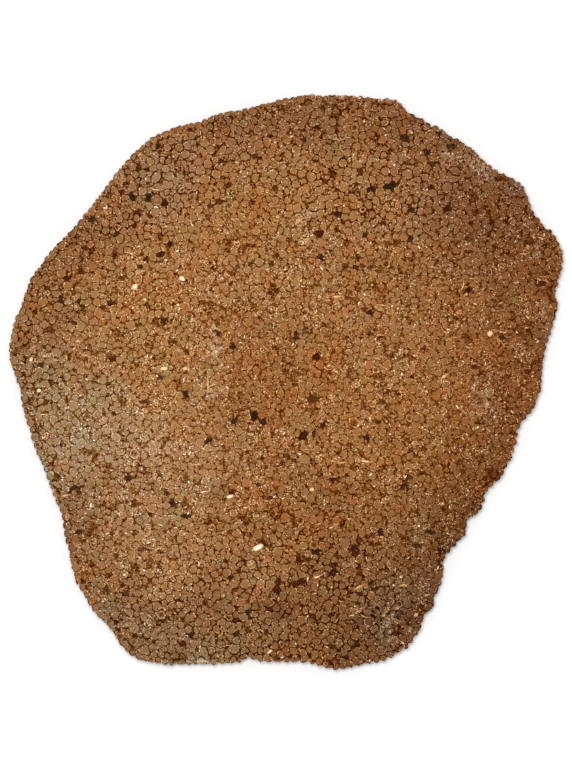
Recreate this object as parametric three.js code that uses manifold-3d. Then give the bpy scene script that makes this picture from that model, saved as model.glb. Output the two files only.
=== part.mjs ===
// A slice sawn across a colony of fossil coral: one flat piece of stone, lying on its sawn back.
// The coral's tubes, or corallites, ran straight through the slice. So its two faces are flat, and
// its broken edge is a row of upright ribs, one for each tube that stands there. Where the rock
// between the tubes has weathered out, the sawn face has open voids.
//
// Millimetres, +Z up. The origin is on the sawn back, under the middle of the slice's outline.

import * as THREE from 'three';
import { mergeVertices } from 'three/addons/utils/BufferGeometryUtils.js';
import Module from 'manifold-3d';

const thickness = 15;
const stoneColour = 0x8e623b;

// The broken edge.
const ribPitch = 4.2;           // between neighbouring tubes
const ribHeightWorn = 0.6;      // from groove to crest, on the worn left side
const ribHeightFresh = 1.3;     // and on the freshly broken right side
const ribHeightSpread = 0.45;   // how much one rib may differ from the next, as a share
const groovePart = 0.65;        // of a rib's height lies inside the outline, and the rest outside it
const crestPart = 0.35;
const crestShift = 0.04;        // of the pitch, by which a rib leans to one side
const brokenRibShare = 0.18;    // of the ribs are broken back at any one height
const edgeBulge = 0.6;          // how far the edge swells out between its faces and halfway up
const edgeWander = 0.4;         // how far the edge drifts in and out along its length
const sawnEdgeBreak = 0.3;      // the crumbled arris round each sawn face
const pointsPerRib = 3;
const edgeHeights = [0, 0.22, 0.48, 0.72, 0.93, 1];   // of the thickness, where the edge has its loops
const chipShares = [0, 0, 0, 0, 0.75, 1];             // how much of a chip reaches down to each loop

// The voids.
const voidSides = 6;
const voidFloorShare = 0.45;    // a void's floor, as a share of its mouth
const cutOver = 1;              // by which a cutter stands proud of the face it cuts

// The outline of the slice, counter-clockwise from the top.
const outline = [
  [2, 141.5], [-17, 137], [-30.5, 134], [-45, 129.5], [-63, 124], [-73, 116.5], [-82.5, 107.5],
  [-89, 98.5], [-101.5, 82.5], [-125, 55], [-134, 35], [-139, 14], [-136.5, 4], [-133, -7],
  [-130.5, -19], [-127, -31], [-119.5, -49], [-113, -68], [-108.5, -88.5], [-105.5, -100],
  [-98, -113.5], [-89, -123.5], [-77, -138.5], [-62.5, -142], [-23, -141], [-19.5, -138.5], [-12, -141],
  [11, -141.5], [20, -144], [27, -144.5], [44, -141.5], [57, -136.5], [67, -126], [68, -121],
  [73.5, -114.5], [74, -109], [78, -102], [79.5, -89], [89.5, -78], [92, -68.5], [95.5, -67.5],
  [102, -54.5], [109.5, -46.5], [116.5, -25.5], [119.5, -19.5], [124, -14], [128.5, 1], [128.5, 8],
  [133.5, 27.5], [136.5, 37], [135, 43.5], [139, 61], [135, 71], [124, 84.5], [118, 98], [104, 105.5],
  [96.5, 113.5], [79, 124.5], [61, 135], [55.5, 140], [37, 142], [20, 143],
];

// Places where the sawn edge has spalled: centre, reach along the edge, and how far in it is broken.
const chips = [
  { x: 28, y: 143, reach: 7, bite: 1.6 },
  { x: 46, y: 142, reach: 13, bite: 2.4 },
  { x: 114, y: 101, reach: 9, bite: 1.5 },
  { x: 134, y: 44, reach: 8, bite: 1.3 },
  { x: 129, y: 5, reach: 9, bite: 1.2 },
  { x: 105, y: -50, reach: 8, bite: 1.6 },
  { x: 80, y: -93, reach: 9, bite: 1.4 },
  { x: 70, y: -118, reach: 8, bite: 1.6 },
  { x: 47, y: -140, reach: 9, bite: 1.2 },
  { x: 3, y: -140, reach: 8, bite: 1.2 },
  { x: -20, y: -139, reach: 5, bite: 1.4 },
  { x: -44, y: -141, reach: 15, bite: 2.6 },
  { x: -75, y: 116, reach: 6, bite: 1.0 },
  { x: -138, y: 12, reach: 7, bite: 1.0 },
];

// Voids in the sawn face: centre x and y, length, width, turn in degrees, and depth.
const voids = [
  [-77, 91.5, 6, 3, -60, 3], [-69, 91, 6, 3, 80, 3], [-61, 88, 5, 3.5, 30, 2.5], [-96.5, 80, 5, 2.5, 60, 2],
  [-58, 68, 4, 3, 70, 2.5], [-63, 62.5, 6, 3, 10, 2.5], [-109, 51.5, 5, 3, 40, 2], [-112.5, 40.5, 5, 2.5, -50, 2],
  [-88, 38.5, 5, 3, 10, 2], [-60.5, 30, 5, 2.5, 0, 2], [-34.5, 23.5, 6, 2.5, -60, 2.5], [-26.5, 17, 4.5, 3, 80, 2.5],
  [-87, 10.5, 5, 2.5, 10, 2], [-50, -7, 5.5, 3, -40, 3], [-16, -18, 7, 4, 80, 3.5], [-11.5, -21, 4.5, 3, -20, 3],
  [-26, -20.5, 4.5, 3, 80, 2.5], [-39, -30.5, 5, 3, 20, 2.5], [-79, -48.5, 6, 2.5, 80, 2], [-105, -54, 11, 2.5, 8, 2.5],
  [-57, -61.5, 5, 2.5, -60, 2], [-50, -68, 7, 2.5, 5, 2.5], [52, 97, 10, 3.5, 12, 3.5], [43, 95.5, 5, 2.5, -30, 3],
  [70, 114, 5, 3, -50, 2.5], [60, 121.5, 5, 2.5, -20, 2], [80.5, 85.5, 6, 3, 20, 2.5], [62.5, 85, 5, 2.5, -10, 2.5],
  [26, 83, 5, 2.5, -30, 2.5], [17, 73.5, 4.5, 3, 30, 2.5], [18, 61, 6, 2.5, -60, 2.5], [62, 70, 5, 2.5, 40, 2.5],
  [91, 45, 4.5, 3.5, 0, 2.5], [15, 11.5, 5, 4, 20, 3], [5, 22, 6, 2.5, -70, 2], [41.5, 34, 5, 3, 0, 2],
  [8.5, -28, 8, 4, 50, 3.5], [18.5, -22.5, 5, 2.5, 60, 2.5], [40.5, -29, 5, 2.5, -20, 2.5], [24, -50, 7, 2.5, -15, 2.5],
  [58.5, -53, 5, 2.5, 40, 2], [47, -76, 5, 3, -70, 2.5], [72, -76, 8, 2.5, 0, 2], [33, -84, 5, 2.5, 60, 2.5],
  [15, -86, 6, 2.5, 5, 3], [23, -96.5, 8, 3, 30, 3.5], [7, -101, 5, 2.5, 60, 2.5], [-4, -101, 5, 3, 80, 2.5],
];

// A repeatable stream of numbers from 0 to 1.
function makeRandom(seed) {
  let state = seed;
  return () => {
    state = (Math.imul(state, 1664525) + 1013904223) >>> 0;
    return state / 2 ** 32;
  };
}

// A number up to `spread` either side of nought.
function either(random, spread) {
  return (2 * random() - 1) * spread;
}

// The outline as stations, three to a rib: its groove and the two shoulders of its crest.
function edgeStations() {
  const corners = outline.map(([x, y]) => new THREE.Vector3(x, y, 0));
  const curve = new THREE.CatmullRomCurve3(corners, true, 'centripetal');
  curve.arcLengthDivisions = 4000;
  const ribCount = Math.round(curve.getLength() / ribPitch);
  const random = makeRandom(7);
  const stations = [];
  for (let rib = 0; rib < ribCount; rib++) {
    const height = 1 + either(random, ribHeightSpread);
    const shift = either(random, crestShift);
    for (let k = 0; k < pointsPerRib; k++) {
      const inGroove = k === 0;
      const along = (rib + k / pointsPerRib + (inGroove ? 0 : shift)) / ribCount;
      const place = curve.getPointAt(along);
      const tangent = curve.getTangentAt(along);
      const normal = new THREE.Vector3(tangent.y, -tangent.x, 0);
      stations.push({ rib, inGroove, height, along, place, normal });
    }
  }
  return { stations, ribCount };
}

// From the worn left side to the freshly broken right side.
function ribHeightAt(place) {
  const fresh = THREE.MathUtils.smoothstep(place.x - 0.35 * place.y, -60, 90);
  return THREE.MathUtils.lerp(ribHeightWorn, ribHeightFresh, fresh);
}

// How far in the sawn edge is broken at a place.
function chipAt(place) {
  let bite = 0;
  for (const chip of chips) {
    const share = 1 - Math.hypot(place.x - chip.x, place.y - chip.y) / chip.reach;
    if (share > 0) bite = Math.max(bite, chip.bite * Math.sqrt(share));
  }
  return bite;
}

// Two slow waves round the whole edge, which slide past each other from loop to loop.
function wanderAt(along, level) {
  const turn = 2 * Math.PI * along;
  return 0.5 * edgeWander * (Math.sin(23 * turn + level) + Math.sin(41 * turn - level));
}

// The edge at each height: ribs, some of them broken back, and the chips under the sawn face.
function edgeLoops() {
  const { stations, ribCount } = edgeStations();
  const random = makeRandom(19);
  return edgeHeights.map((share, level) => {
    const atSawnFace = share === 0 || share === 1;
    const bulge = edgeBulge * (Math.sin(Math.PI * share) - 1) - (atSawnFace ? sawnEdgeBreak : 0);
    const brokenBack = Array.from({ length: ribCount }, () => (random() < brokenRibShare ? random() : 0));
    return stations.map(({ rib, inGroove, height, along, place, normal }) => {
      const ribProfile = (inGroove ? -groovePart : crestPart * height) - brokenBack[rib];
      const relief = ribHeightAt(place) * ribProfile + wanderAt(along, level);
      const out = relief + bulge - chipShares[level] * chipAt(place);
      return new THREE.Vector3(place.x + normal.x * out, place.y + normal.y * out, share * thickness);
    });
  });
}

// A closed solid between the lowest loop and the highest, with flat faces at both ends.
function stackLoops(loops) {
  const count = loops[0].length;
  const positions = loops.flatMap((loop) => loop.flatMap((v) => [v.x, v.y, v.z]));
  const triangles = [];
  for (let level = 0; level + 1 < loops.length; level++) {
    for (let i = 0; i < count; i++) {
      const a = level * count + i;
      const b = level * count + (i + 1) % count;
      triangles.push(a, b, b + count, a, b + count, a + count);
    }
  }
  const cap = (loop) => THREE.ShapeUtils.triangulateShape(loop.map((v) => new THREE.Vector2(v.x, v.y)), []);
  const top = (loops.length - 1) * count;
  for (const [a, b, c] of cap(loops[0])) triangles.push(c, b, a);
  for (const [a, b, c] of cap(loops[loops.length - 1])) triangles.push(top + a, top + b, top + c);
  const geometry = new THREE.BufferGeometry();
  geometry.setAttribute('position', new THREE.Float32BufferAttribute(positions, 3));
  geometry.setIndex(triangles);
  return geometry;
}

// One void: a hollow that narrows towards its floor.
function voidGeometry([x, y, length, width, turn, depth]) {
  const geometry = new THREE.CylinderGeometry(0.5, 0.5 * voidFloorShare, depth + cutOver, voidSides);
  geometry.rotateX(Math.PI / 2);
  geometry.scale(length, width, 1);
  geometry.rotateZ(THREE.MathUtils.degToRad(turn));
  geometry.translate(x, y, thickness + (cutOver - depth) / 2);
  return geometry;
}

const wasm = await Module();
wasm.setup();

function toSolid(geometry) {
  const bare = geometry.clone();
  bare.deleteAttribute('normal');
  bare.deleteAttribute('uv');
  const merged = mergeVertices(bare, 1e-4);
  return new wasm.Manifold(new wasm.Mesh({
    numProp: 3,
    vertProperties: new Float32Array(merged.attributes.position.array),
    triVerts: new Uint32Array(merged.index.array),
  }));
}

function toGeometry(solid) {
  const mesh = solid.getMesh();
  const geometry = new THREE.BufferGeometry();
  geometry.setAttribute('position', new THREE.BufferAttribute(mesh.vertProperties, 3));
  geometry.setIndex(new THREE.BufferAttribute(mesh.triVerts, 1));
  geometry.computeVertexNormals();
  return geometry;
}

function coralSlice() {
  let slice = toSolid(stackLoops(edgeLoops()));
  for (const hollow of voids) slice = slice.subtract(toSolid(voidGeometry(hollow)));
  const geometry = toGeometry(slice);
  geometry.computeBoundingBox();
  const middle = geometry.boundingBox.getCenter(new THREE.Vector3());
  geometry.translate(-middle.x, -middle.y, 0);
  const stone = new THREE.MeshStandardMaterial({ color: stoneColour, roughness: 0.8, metalness: 0 });
  const mesh = new THREE.Mesh(geometry, stone);
  mesh.name = 'coral_slice';
  return mesh;
}

const part = new THREE.Group();
part.add(coralSlice());
export default part;
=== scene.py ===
import math

import bpy
import numpy as np
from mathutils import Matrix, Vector, noise as solidNoise
from mathutils.bvhtree import BVHTree
from mathutils.kdtree import KDTree


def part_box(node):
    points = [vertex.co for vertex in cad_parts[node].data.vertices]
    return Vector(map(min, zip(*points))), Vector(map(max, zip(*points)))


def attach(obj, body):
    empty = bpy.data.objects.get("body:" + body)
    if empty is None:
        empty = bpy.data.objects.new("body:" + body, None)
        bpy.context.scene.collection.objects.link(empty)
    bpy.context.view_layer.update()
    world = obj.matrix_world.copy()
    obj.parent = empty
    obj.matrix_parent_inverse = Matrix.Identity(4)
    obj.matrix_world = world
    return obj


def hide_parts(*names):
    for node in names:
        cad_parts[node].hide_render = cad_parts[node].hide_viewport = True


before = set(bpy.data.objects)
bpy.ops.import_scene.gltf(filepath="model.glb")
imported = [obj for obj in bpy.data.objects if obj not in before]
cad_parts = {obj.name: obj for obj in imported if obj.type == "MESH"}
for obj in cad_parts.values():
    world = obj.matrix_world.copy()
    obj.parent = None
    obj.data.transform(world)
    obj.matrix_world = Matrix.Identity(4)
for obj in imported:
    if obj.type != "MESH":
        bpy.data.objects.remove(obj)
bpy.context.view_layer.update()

# Everything is laid out in millimetres in the plane of the sawn face, and written to meshes in metres.
mm = 0.001
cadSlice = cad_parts["coral_slice"]
sliceLow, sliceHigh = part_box("coral_slice")
thickness = (sliceHigh.z - sliceLow.z) / mm


def nothingSelected():
    if bpy.context.object and bpy.context.object.mode != "OBJECT":
        bpy.ops.object.mode_set(mode="OBJECT")
    bpy.ops.object.select_all(action="DESELECT")


def activate(piece):
    nothingSelected()
    piece.select_set(True)
    bpy.context.view_layer.objects.active = piece


def applyModifiers(piece):
    activate(piece)
    for modifier in list(piece.modifiers):
        bpy.ops.object.modifier_apply(modifier=modifier.name)


def meshPoints(mesh):
    points = np.empty(len(mesh.vertices) * 3)
    mesh.vertices.foreach_get("co", points)
    return points.reshape(-1, 3)


def linearColour(red, green, blue):
    def one(value):
        value = value / 255
        return value / 12.92 if value <= 0.04045 else ((value + 0.055) / 1.055) ** 2.4
    return (one(red), one(green), one(blue), 1.0)


def smoothStep(values, low, high):
    share = np.clip((values - low) / (high - low), 0, 1)
    return share * share * (3 - 2 * share)


def onCircle(radius, angle):
    return np.stack([radius * np.cos(angle), radius * np.sin(angle)], axis=-1)


def fromMiddle(points):
    return np.hypot(points[..., 0], points[..., 1])


def alongAndAcross(x, y, turn):
    # how far a place lies along a direction and across it; turn is in degrees
    cosine, sine = math.cos(math.radians(turn)), math.sin(math.radians(turn))
    return x * cosine + y * sine, y * cosine - x * sine


def treeOf(places):
    # finds which of some places in the plane are near another
    tree = KDTree(len(places))
    for i, (x, y, *_) in enumerate(places):
        tree.insert((x, y, 0), i)
    tree.balance()
    return tree


def edgeLoop():
    # the broken edge of the CAD slice about halfway up, in order round it
    points = meshPoints(cadSlice.data) / mm
    heights = np.unique(np.round(points[:, 2], 2))
    middle = heights[np.argmin(abs(heights - 0.48 * thickness))]
    loop = points[abs(points[:, 2] - middle) < 0.02][:, :2]
    loop = np.unique(np.round(loop, 3), axis=0)
    return loop[np.argsort(np.arctan2(loop[:, 1], loop[:, 0]))]


outline = edgeLoop()
outlineAngles = np.arctan2(outline[:, 1], outline[:, 0])
outlineReach = fromMiddle(outline)
# the same outline without its ribs
smoothing = np.hanning(9) / np.hanning(9).sum()
evenReach = np.convolve(np.r_[outlineReach[-4:], outlineReach, outlineReach[:4]], smoothing, "valid")


def reachAt(points, reach=outlineReach):
    # how far the outline lies from the middle, in the direction of each point
    angles = np.arctan2(points[..., 1], points[..., 0])
    return np.interp(angles, outlineAngles, reach, period=2 * math.pi)


def insideBy(points, margin):
    # whether each point lies this far inside the even outline
    return fromMiddle(points) < reachAt(points, evenReach) - margin


# The face differs from place to place. Here its tubes stand clearer, or less clear with a strength
# below 0: centre and reach in mm, turn in degrees and strength.
clearPatches = [
    ((-60, 103), (48, 26), 38, 0.50), ((32, 100), (44, 26), 0, 0.40), ((-125, 18), (18, 70), 8, 0.35),
    ((-12, -112), (75, 30), 0, 0.55), ((-60, -60), (40, 30), 0, 0.10), ((12, 8), (62, 46), 20, -0.22),
    ((104, 30), (34, 66), 0, -0.30), ((105, -25), (32, 40), -30, -0.30),
    ((82, -90), (26, 36), -30, -0.60), ((-40, -5), (22, 50), 0, -0.25),
    ((-75, -82), (45, 32), 0, -0.30), ((-112, 10), (32, 50), 0, -0.22),
    ((-30, 80), (45, 18), 0, -0.20), ((32, -104), (28, 22), 0, 0.20), ((62, 92), (30, 18), -30, 0.12),
]
# Colours that stain the face, with painted shade among them where the face is darkened towards the right and
# the bottom, as the light falls off there: the same, then the tint that the stone takes.
stainAndShadePatches = [
    ((-112, -24), (32, 52), 14, 1.0, (1.06, 1.42, 2.05)),
    ((-62, -34), (38, 62), 0, 0.9, (1.16, 1.32, 1.66)),
    ((-38, 18), (10, 52), 4, 0.7, (1.05, 1.10, 1.22)),
    ((0, 138), (110, 20), 0, 1.0, (0.75, 0.69, 0.72)),
    ((-95, 82), (32, 22), 48, 0.9, (0.85, 0.84, 0.92)),
    ((-60, 100), (18, 20), 20, 0.9, (0.93, 1.08, 1.50)),
    ((-15, 72), (52, 34), 0, 0.8, (1.12, 1.14, 1.16)),
    ((-72, 42), (40, 32), 0, 0.7, (1.11, 1.08, 1.00)),
    ((-128, 24), (18, 24), 0, 0.9, (0.86, 0.78, 0.72)),
    ((-18, 0), (32, 36), 0, 1.0, (0.94, 0.85, 0.76)),
    ((50, -25), (52, 40), 0, 0.9, (1.02, 0.97, 0.84)),
    ((124, 12), (44, 112), -12, 1.0, (0.68, 0.55, 0.42)),
    ((88, -42), (28, 26), 0, 0.9, (0.92, 0.88, 0.78)),
    ((68, -116), (50, 42), 40, 1.0, (0.50, 0.50, 0.56)),
    ((10, -118), (62, 32), 0, 1.0, (0.86, 0.81, 0.76)),
    ((15, -68), (60, 20), 0, 1.0, (0.93, 0.90, 0.86)),
    ((-88, -118), (26, 24), 0, 1.0, (0.82, 0.80, 0.76)),
    ((98, -62), (24, 34), -35, 1.0, (0.76, 0.72, 0.66)),
    ((-55, -128), (70, 26), 0, 1.0, (0.79, 0.89, 1.12)),
    ((98, 92), (44, 34), -40, 1.0, (0.63, 0.55, 0.58)),
    ((22, 12), (10, 12), 0, 0.5, (1.05, 0.92, 0.76)),
    ((102, 20), (10, 9), 0, 0.6, (1.18, 0.88, 0.70)),
    ((-20, 12), (7, 6), 0, 0.5, (1.06, 0.84, 0.74)),
    ((-12, -57), (14, 11), 0, 0.6, (1.06, 0.88, 0.70)),
    ((15, -70), (20, 10), 0, 0.6, (1.05, 0.88, 0.74)),
    ((24, 76), (10, 7), 0, 0.8, (1.06, 1.10, 1.20)),
    ((96, -10), (13, 24), 0, 0.6, (1.10, 1.16, 1.28)),
    ((107.5, -47.5), (5, 3.6), -30, 1.0, (0.62, 0.36, 0.30)),
    ((-62, 10), (34, 40), 0, 1.0, (1.00, 0.97, 0.83)),
    ((-26, 84), (22, 20), 0, 0.8, (0.98, 0.92, 0.78)),
    ((50, 52), (26, 20), 0, 1.0, (0.99, 0.94, 0.84)),
    ((8, 2), (30, 34), 0, 0.8, (0.98, 0.95, 0.84)),
    ((88, 0), (32, 46), 0, 0.7, (0.98, 0.94, 0.84)),
    ((-38, -134), (9, 8), 0, 1.0, (1.10, 1.30, 1.65)),
    ((117, 97), (7, 7), 0, 1.0, (0.98, 1.20, 1.90)),
    ((130, 23), (6, 8), 0, 1.0, (1.06, 1.20, 1.65)),
    ((-100, -122), (14, 14), 0, 0.8, (1.00, 1.10, 1.25)),
    ((48, -28), (8, 8), 0, 1.0, (0.91, 0.83, 0.68)),
    ((42, 15), (85, 70), 0, 1.0, (1.04, 1.06, 1.12)),
    ((75, 95), (30, 30), 0, 1.0, (1.00, 1.03, 1.12)),
    ((-88, -122), (16, 14), 0, 1.0, (1.02, 1.08, 1.20)),
    ((-40, 118), (52, 13), 12, 1.0, (1.00, 1.01, 1.12)),
    ((-122, -38), (14, 16), 0, 1.0, (1.00, 1.06, 1.18)),
    ((-12, -95), (9, 8), 0, 1.0, (1.09, 1.24, 1.44)),
    ((-21, -18), (8, 8), 0, 1.0, (0.89, 0.81, 0.72)),
    ((-94, -48), (13, 9), 0, 1.0, (0.90, 0.81, 0.68)),
]
# Brown seams, where the face is darker than round about, and dusty places with a strength below 0, where
# it is paler: centre, reach, turn and strength.
seamPatches = [
    ((-106, -66), (13, 19), 0, 1.0), ((82, -84), (7, 6), 0, 1.5), ((67, 132), (8, 5), -20, 1.3),
    ((84, 123), (9, 6), -30, 1.0), ((-4, -112), (8, 7), 0, 1.1), ((74, -107), (8, 7), 0, 0.9),
    ((-129, -22), (6, 36), 14, 0.8), ((95, -66), (8, 7), 0, 0.9), ((-107, 75), (9, 9), 0, 0.8),
    ((129, 13), (7, 16), 0, 0.8), ((42, -118), (9, 9), 0, 0.8), ((118, -18), (8, 9), 0, 0.7),
    ((26, -57), (15, 13), 0, 0.6), ((16, 123), (10, 8), 0, 0.7), ((14, -93), (9, 8), 0, 0.6),
    ((60, 51), (10, 9), 0, 0.6), ((-122, 57), (8, 8), 0, 0.7), ((30, -140), (10, 5), 0, 1.0),
    ((68, -119), (8, 7), 0, 0.7), ((-52, -139), (7, 4), 0, 1.0), ((30, 75), (9, 8), 0, 0.4),
    ((-109, -84), (8, 8), 0, 0.5), ((28, -82), (10, 9), 0, 0.4), ((-14, -139), (10, 5), 0, 0.4),
    ((-29, -56), (9, 8), 0, 0.4), ((6, -140), (12, 5), 0, 0.5), ((100, -57), (6, 6), 0, 0.4),
    ((34, 59), (9, 8), 0, 0.35), ((-64, -105), (9, 8), 0, -0.75), ((-58, -88), (9, 8), 0, -0.4),
    ((-65, -15), (9, 9), 0, -0.35), ((72, 106), (9, 7), -30, -0.35), ((40, -107), (8, 7), 0, -0.9),
    ((7, 93), (8, 8), 0, -0.3), ((-59, 101), (8, 8), 0, -0.3), ((6, 114), (7, 6), 0, -0.3),
    ((55, 81), (8, 7), 0, -0.4), ((78, -95), (6, 5), 0, -0.5), ((34, -141), (6, 4), 0, 0.5),
    ((-110, -58), (6, 6), 0, 0.35), ((61, -54), (8, 8), 0, 0.5), ((53, 127), (8, 6), 0, 0.5),
    ((42, -122), (42, 15), 0, 0.20), ((-116, 40), (26, 60), 0, 0.16), ((-108, -78), (10, 14), 0, 0.35),
    ((88, -78), (7, 7), 0, 0.5), ((74, -72), (20, 22), 0, 0.26), ((-62, -70), (20, 16), 0, 0.15),
    ((-100, -98), (14, 14), 0, 0.22),
]


patchFalloff = 1.3   # the higher, the flatter the middle of a patch


def patchStrength(points, centre, reach, turn):
    along, across = alongAndAcross(points[..., 0] - centre[0], points[..., 1] - centre[1], turn)
    return np.exp(-((along / reach[0]) ** 2 + (across / reach[1]) ** 2) ** patchFalloff)


# Whitish broken rock along the edge, and dust in the face: the same.
chalkPatches = [
    ((47, 142.8), (10, 2.2), -4, 0.75), ((27.5, 143.5), (3, 1.6), 0, 0.6),
    ((-44, -139.4), (8, 2.2), 4, 0.62), ((-139, 24), (1.6, 6), -8, 0.6),
    ((97, 107), (10, 5), -35, 0.36), ((81, 114), (5, 3), 0, 0.30), ((129, 37), (4, 5), 0, 0.30),
    ((-35, 18), (4, 16), 3, 0.36), ((-63, -32), (7, 12), 0, 0.30), ((12, 84), (6, 5), 0, 0.32),
    ((97, -11), (9, 9), 0, 0.30), ((102, -12), (3, 5), 0, 0.12), ((-38, -5), (6, 5), 0, 0.30),
    ((126, 65), (4, 4), 0, 0.28), ((50, -116), (10, 20), -10, 0.26),
    ((-72, -122), (26, 10), -25, 0.20), ((-112, -92), (6, 14), 20, 0.20),
    ((-130, -6), (5, 24), 5, 0.18),
]


faceGround = {
    "clear": 0.5,           # how clear the tubes stand outside every patch
    "leastClear": 0.05,
    "gravelSize": 5.5,      # mm, of the places where broken bits hide the tubes
    "gravelSlice": 3.7,     # through the noise that lays them out
    "gravelWhereClogged": 0.34,
    "gravelFade": (0.05, 0.42),
    "seamTint": (0.75, 0.68, 0.62),
    "deepestSeam": 1.6,
    "chalkFade": (0.5, 6),  # mm under the face
    "faceDepth": 6,         # below this, voids no longer darken the rock
    # round voids and pits the rock is darkened: partly the dark fill of the hollows, partly painted shade in
    # them
    "voidFade": (0.9, 2.1),
    "pitFade": (0.0, 0.6),
    "pitWiden": 0.35,
    "pitDarkness": 0.7,
}


def chalkAt(points):
    return sum(strength * patchStrength(points, *patch) for *patch, strength in chalkPatches)


def clearness(points):
    # 0 where the tubes are clogged and hard to tell apart, 1 where they stand clear
    total = np.full(points.shape[:-1], faceGround["clear"])
    for centre, reach, turn, strength in clearPatches:
        total += strength * patchStrength(points, centre, reach, turn)
    return np.clip(total, faceGround["leastClear"], 1)


def gravelAt(points):
    # 1 where broken bits hide the tubes, 0 where their faces are clean
    size, level = faceGround["gravelSize"], faceGround["gravelSlice"]
    lumps = [solidNoise.fractal(Vector((x, y, level)), 0.6, 2.0, 2) for x, y in points.reshape(-1, 2) / size]
    lumps = np.array(lumps).reshape(points.shape[:-1])
    clogged = faceGround["clear"] - clearness(points)
    return smoothStep(lumps + faceGround["gravelWhereClogged"] * clogged, *faceGround["gravelFade"])


def stainAndShadeAt(points):
    # the tint of each place: its stains, with painted shade where the light falls off across the face, then
    # its seams
    tint = np.ones(points.shape[:-1] + (3,))
    for centre, reach, turn, strength, colour in stainAndShadePatches:
        share = strength * patchStrength(points, centre, reach, turn)
        tint *= 1 + share[..., None] * (np.array(colour) - 1)
    seams = sum(strength * patchStrength(points, *patch) for *patch, strength in seamPatches)
    return tint * np.array(faceGround["seamTint"]) ** np.minimum(seams, faceGround["deepestSeam"])[..., None]


# Where the tubes stand.
packing = {
    "seed": 11,
    "spacing": 3.72,        # mm between neighbours before they settle
    "rowStep": 0.866,       # of the spacing, from row to row
    "jitter": 0.32,         # of the spacing
    "edgeRoom": 3.4,        # mm that the edge tubes take
    "radius": 1.88,
    "radiusSpread": 0.17,
    "radiusLimits": (0.85, 3.0),
    "cloggedSize": 0.94,
    "clearGrowth": 0.11,
    "smallShare": 0.15,
    "smallRadius": (0.9, 1.45),
    "neighbours": 12,
    "closeness": 0.87,      # under 1 lets neighbours press into each other
    "rounds": 60,
    "roundsBetweenLooks": 7,   # for who the neighbours are
    "push": 0.42,           # of an overlap, in each round
    "voidPush": 0.5,
    "voidClearance": 0.8,
    "insideEdge": 0.35,     # of its radius, that a tube's middle stays inside the edge
    "thinning": 0.08,       # share of the tubes left out where they stand clear
    "fillerTries": 60000,
    "fillerField": 150,     # mm each way from the middle
    "fillerEdgeRoom": 2.2,
    "fillerRadius": (0.6, 1.1),
    "fillerCloseness": 0.9,
    "fillerGrowth": 1.08,
    "fillerThinning": 0.6,
    "edgeRadius": (1.3, 2.35),
    "edgeCloseness": 0.93,
    "edgeInset": 0.80,      # of its radius, that the middle of an edge tube stands inside the edge
    "edgeInsetSpread": (-0.15, 0.25),
    "leastEdgeTube": 3,     # mm of its length
}

# Holes that the CAD slice has too: mm under the sawn face.
voidDepth = 0.3        # from here on, it counts as a void
voidFloor = (0.5, 5)   # where the floors of the voids lie
voidEdgeRoom = 4       # nearer the edge than this, it is a chip of the edge
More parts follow.
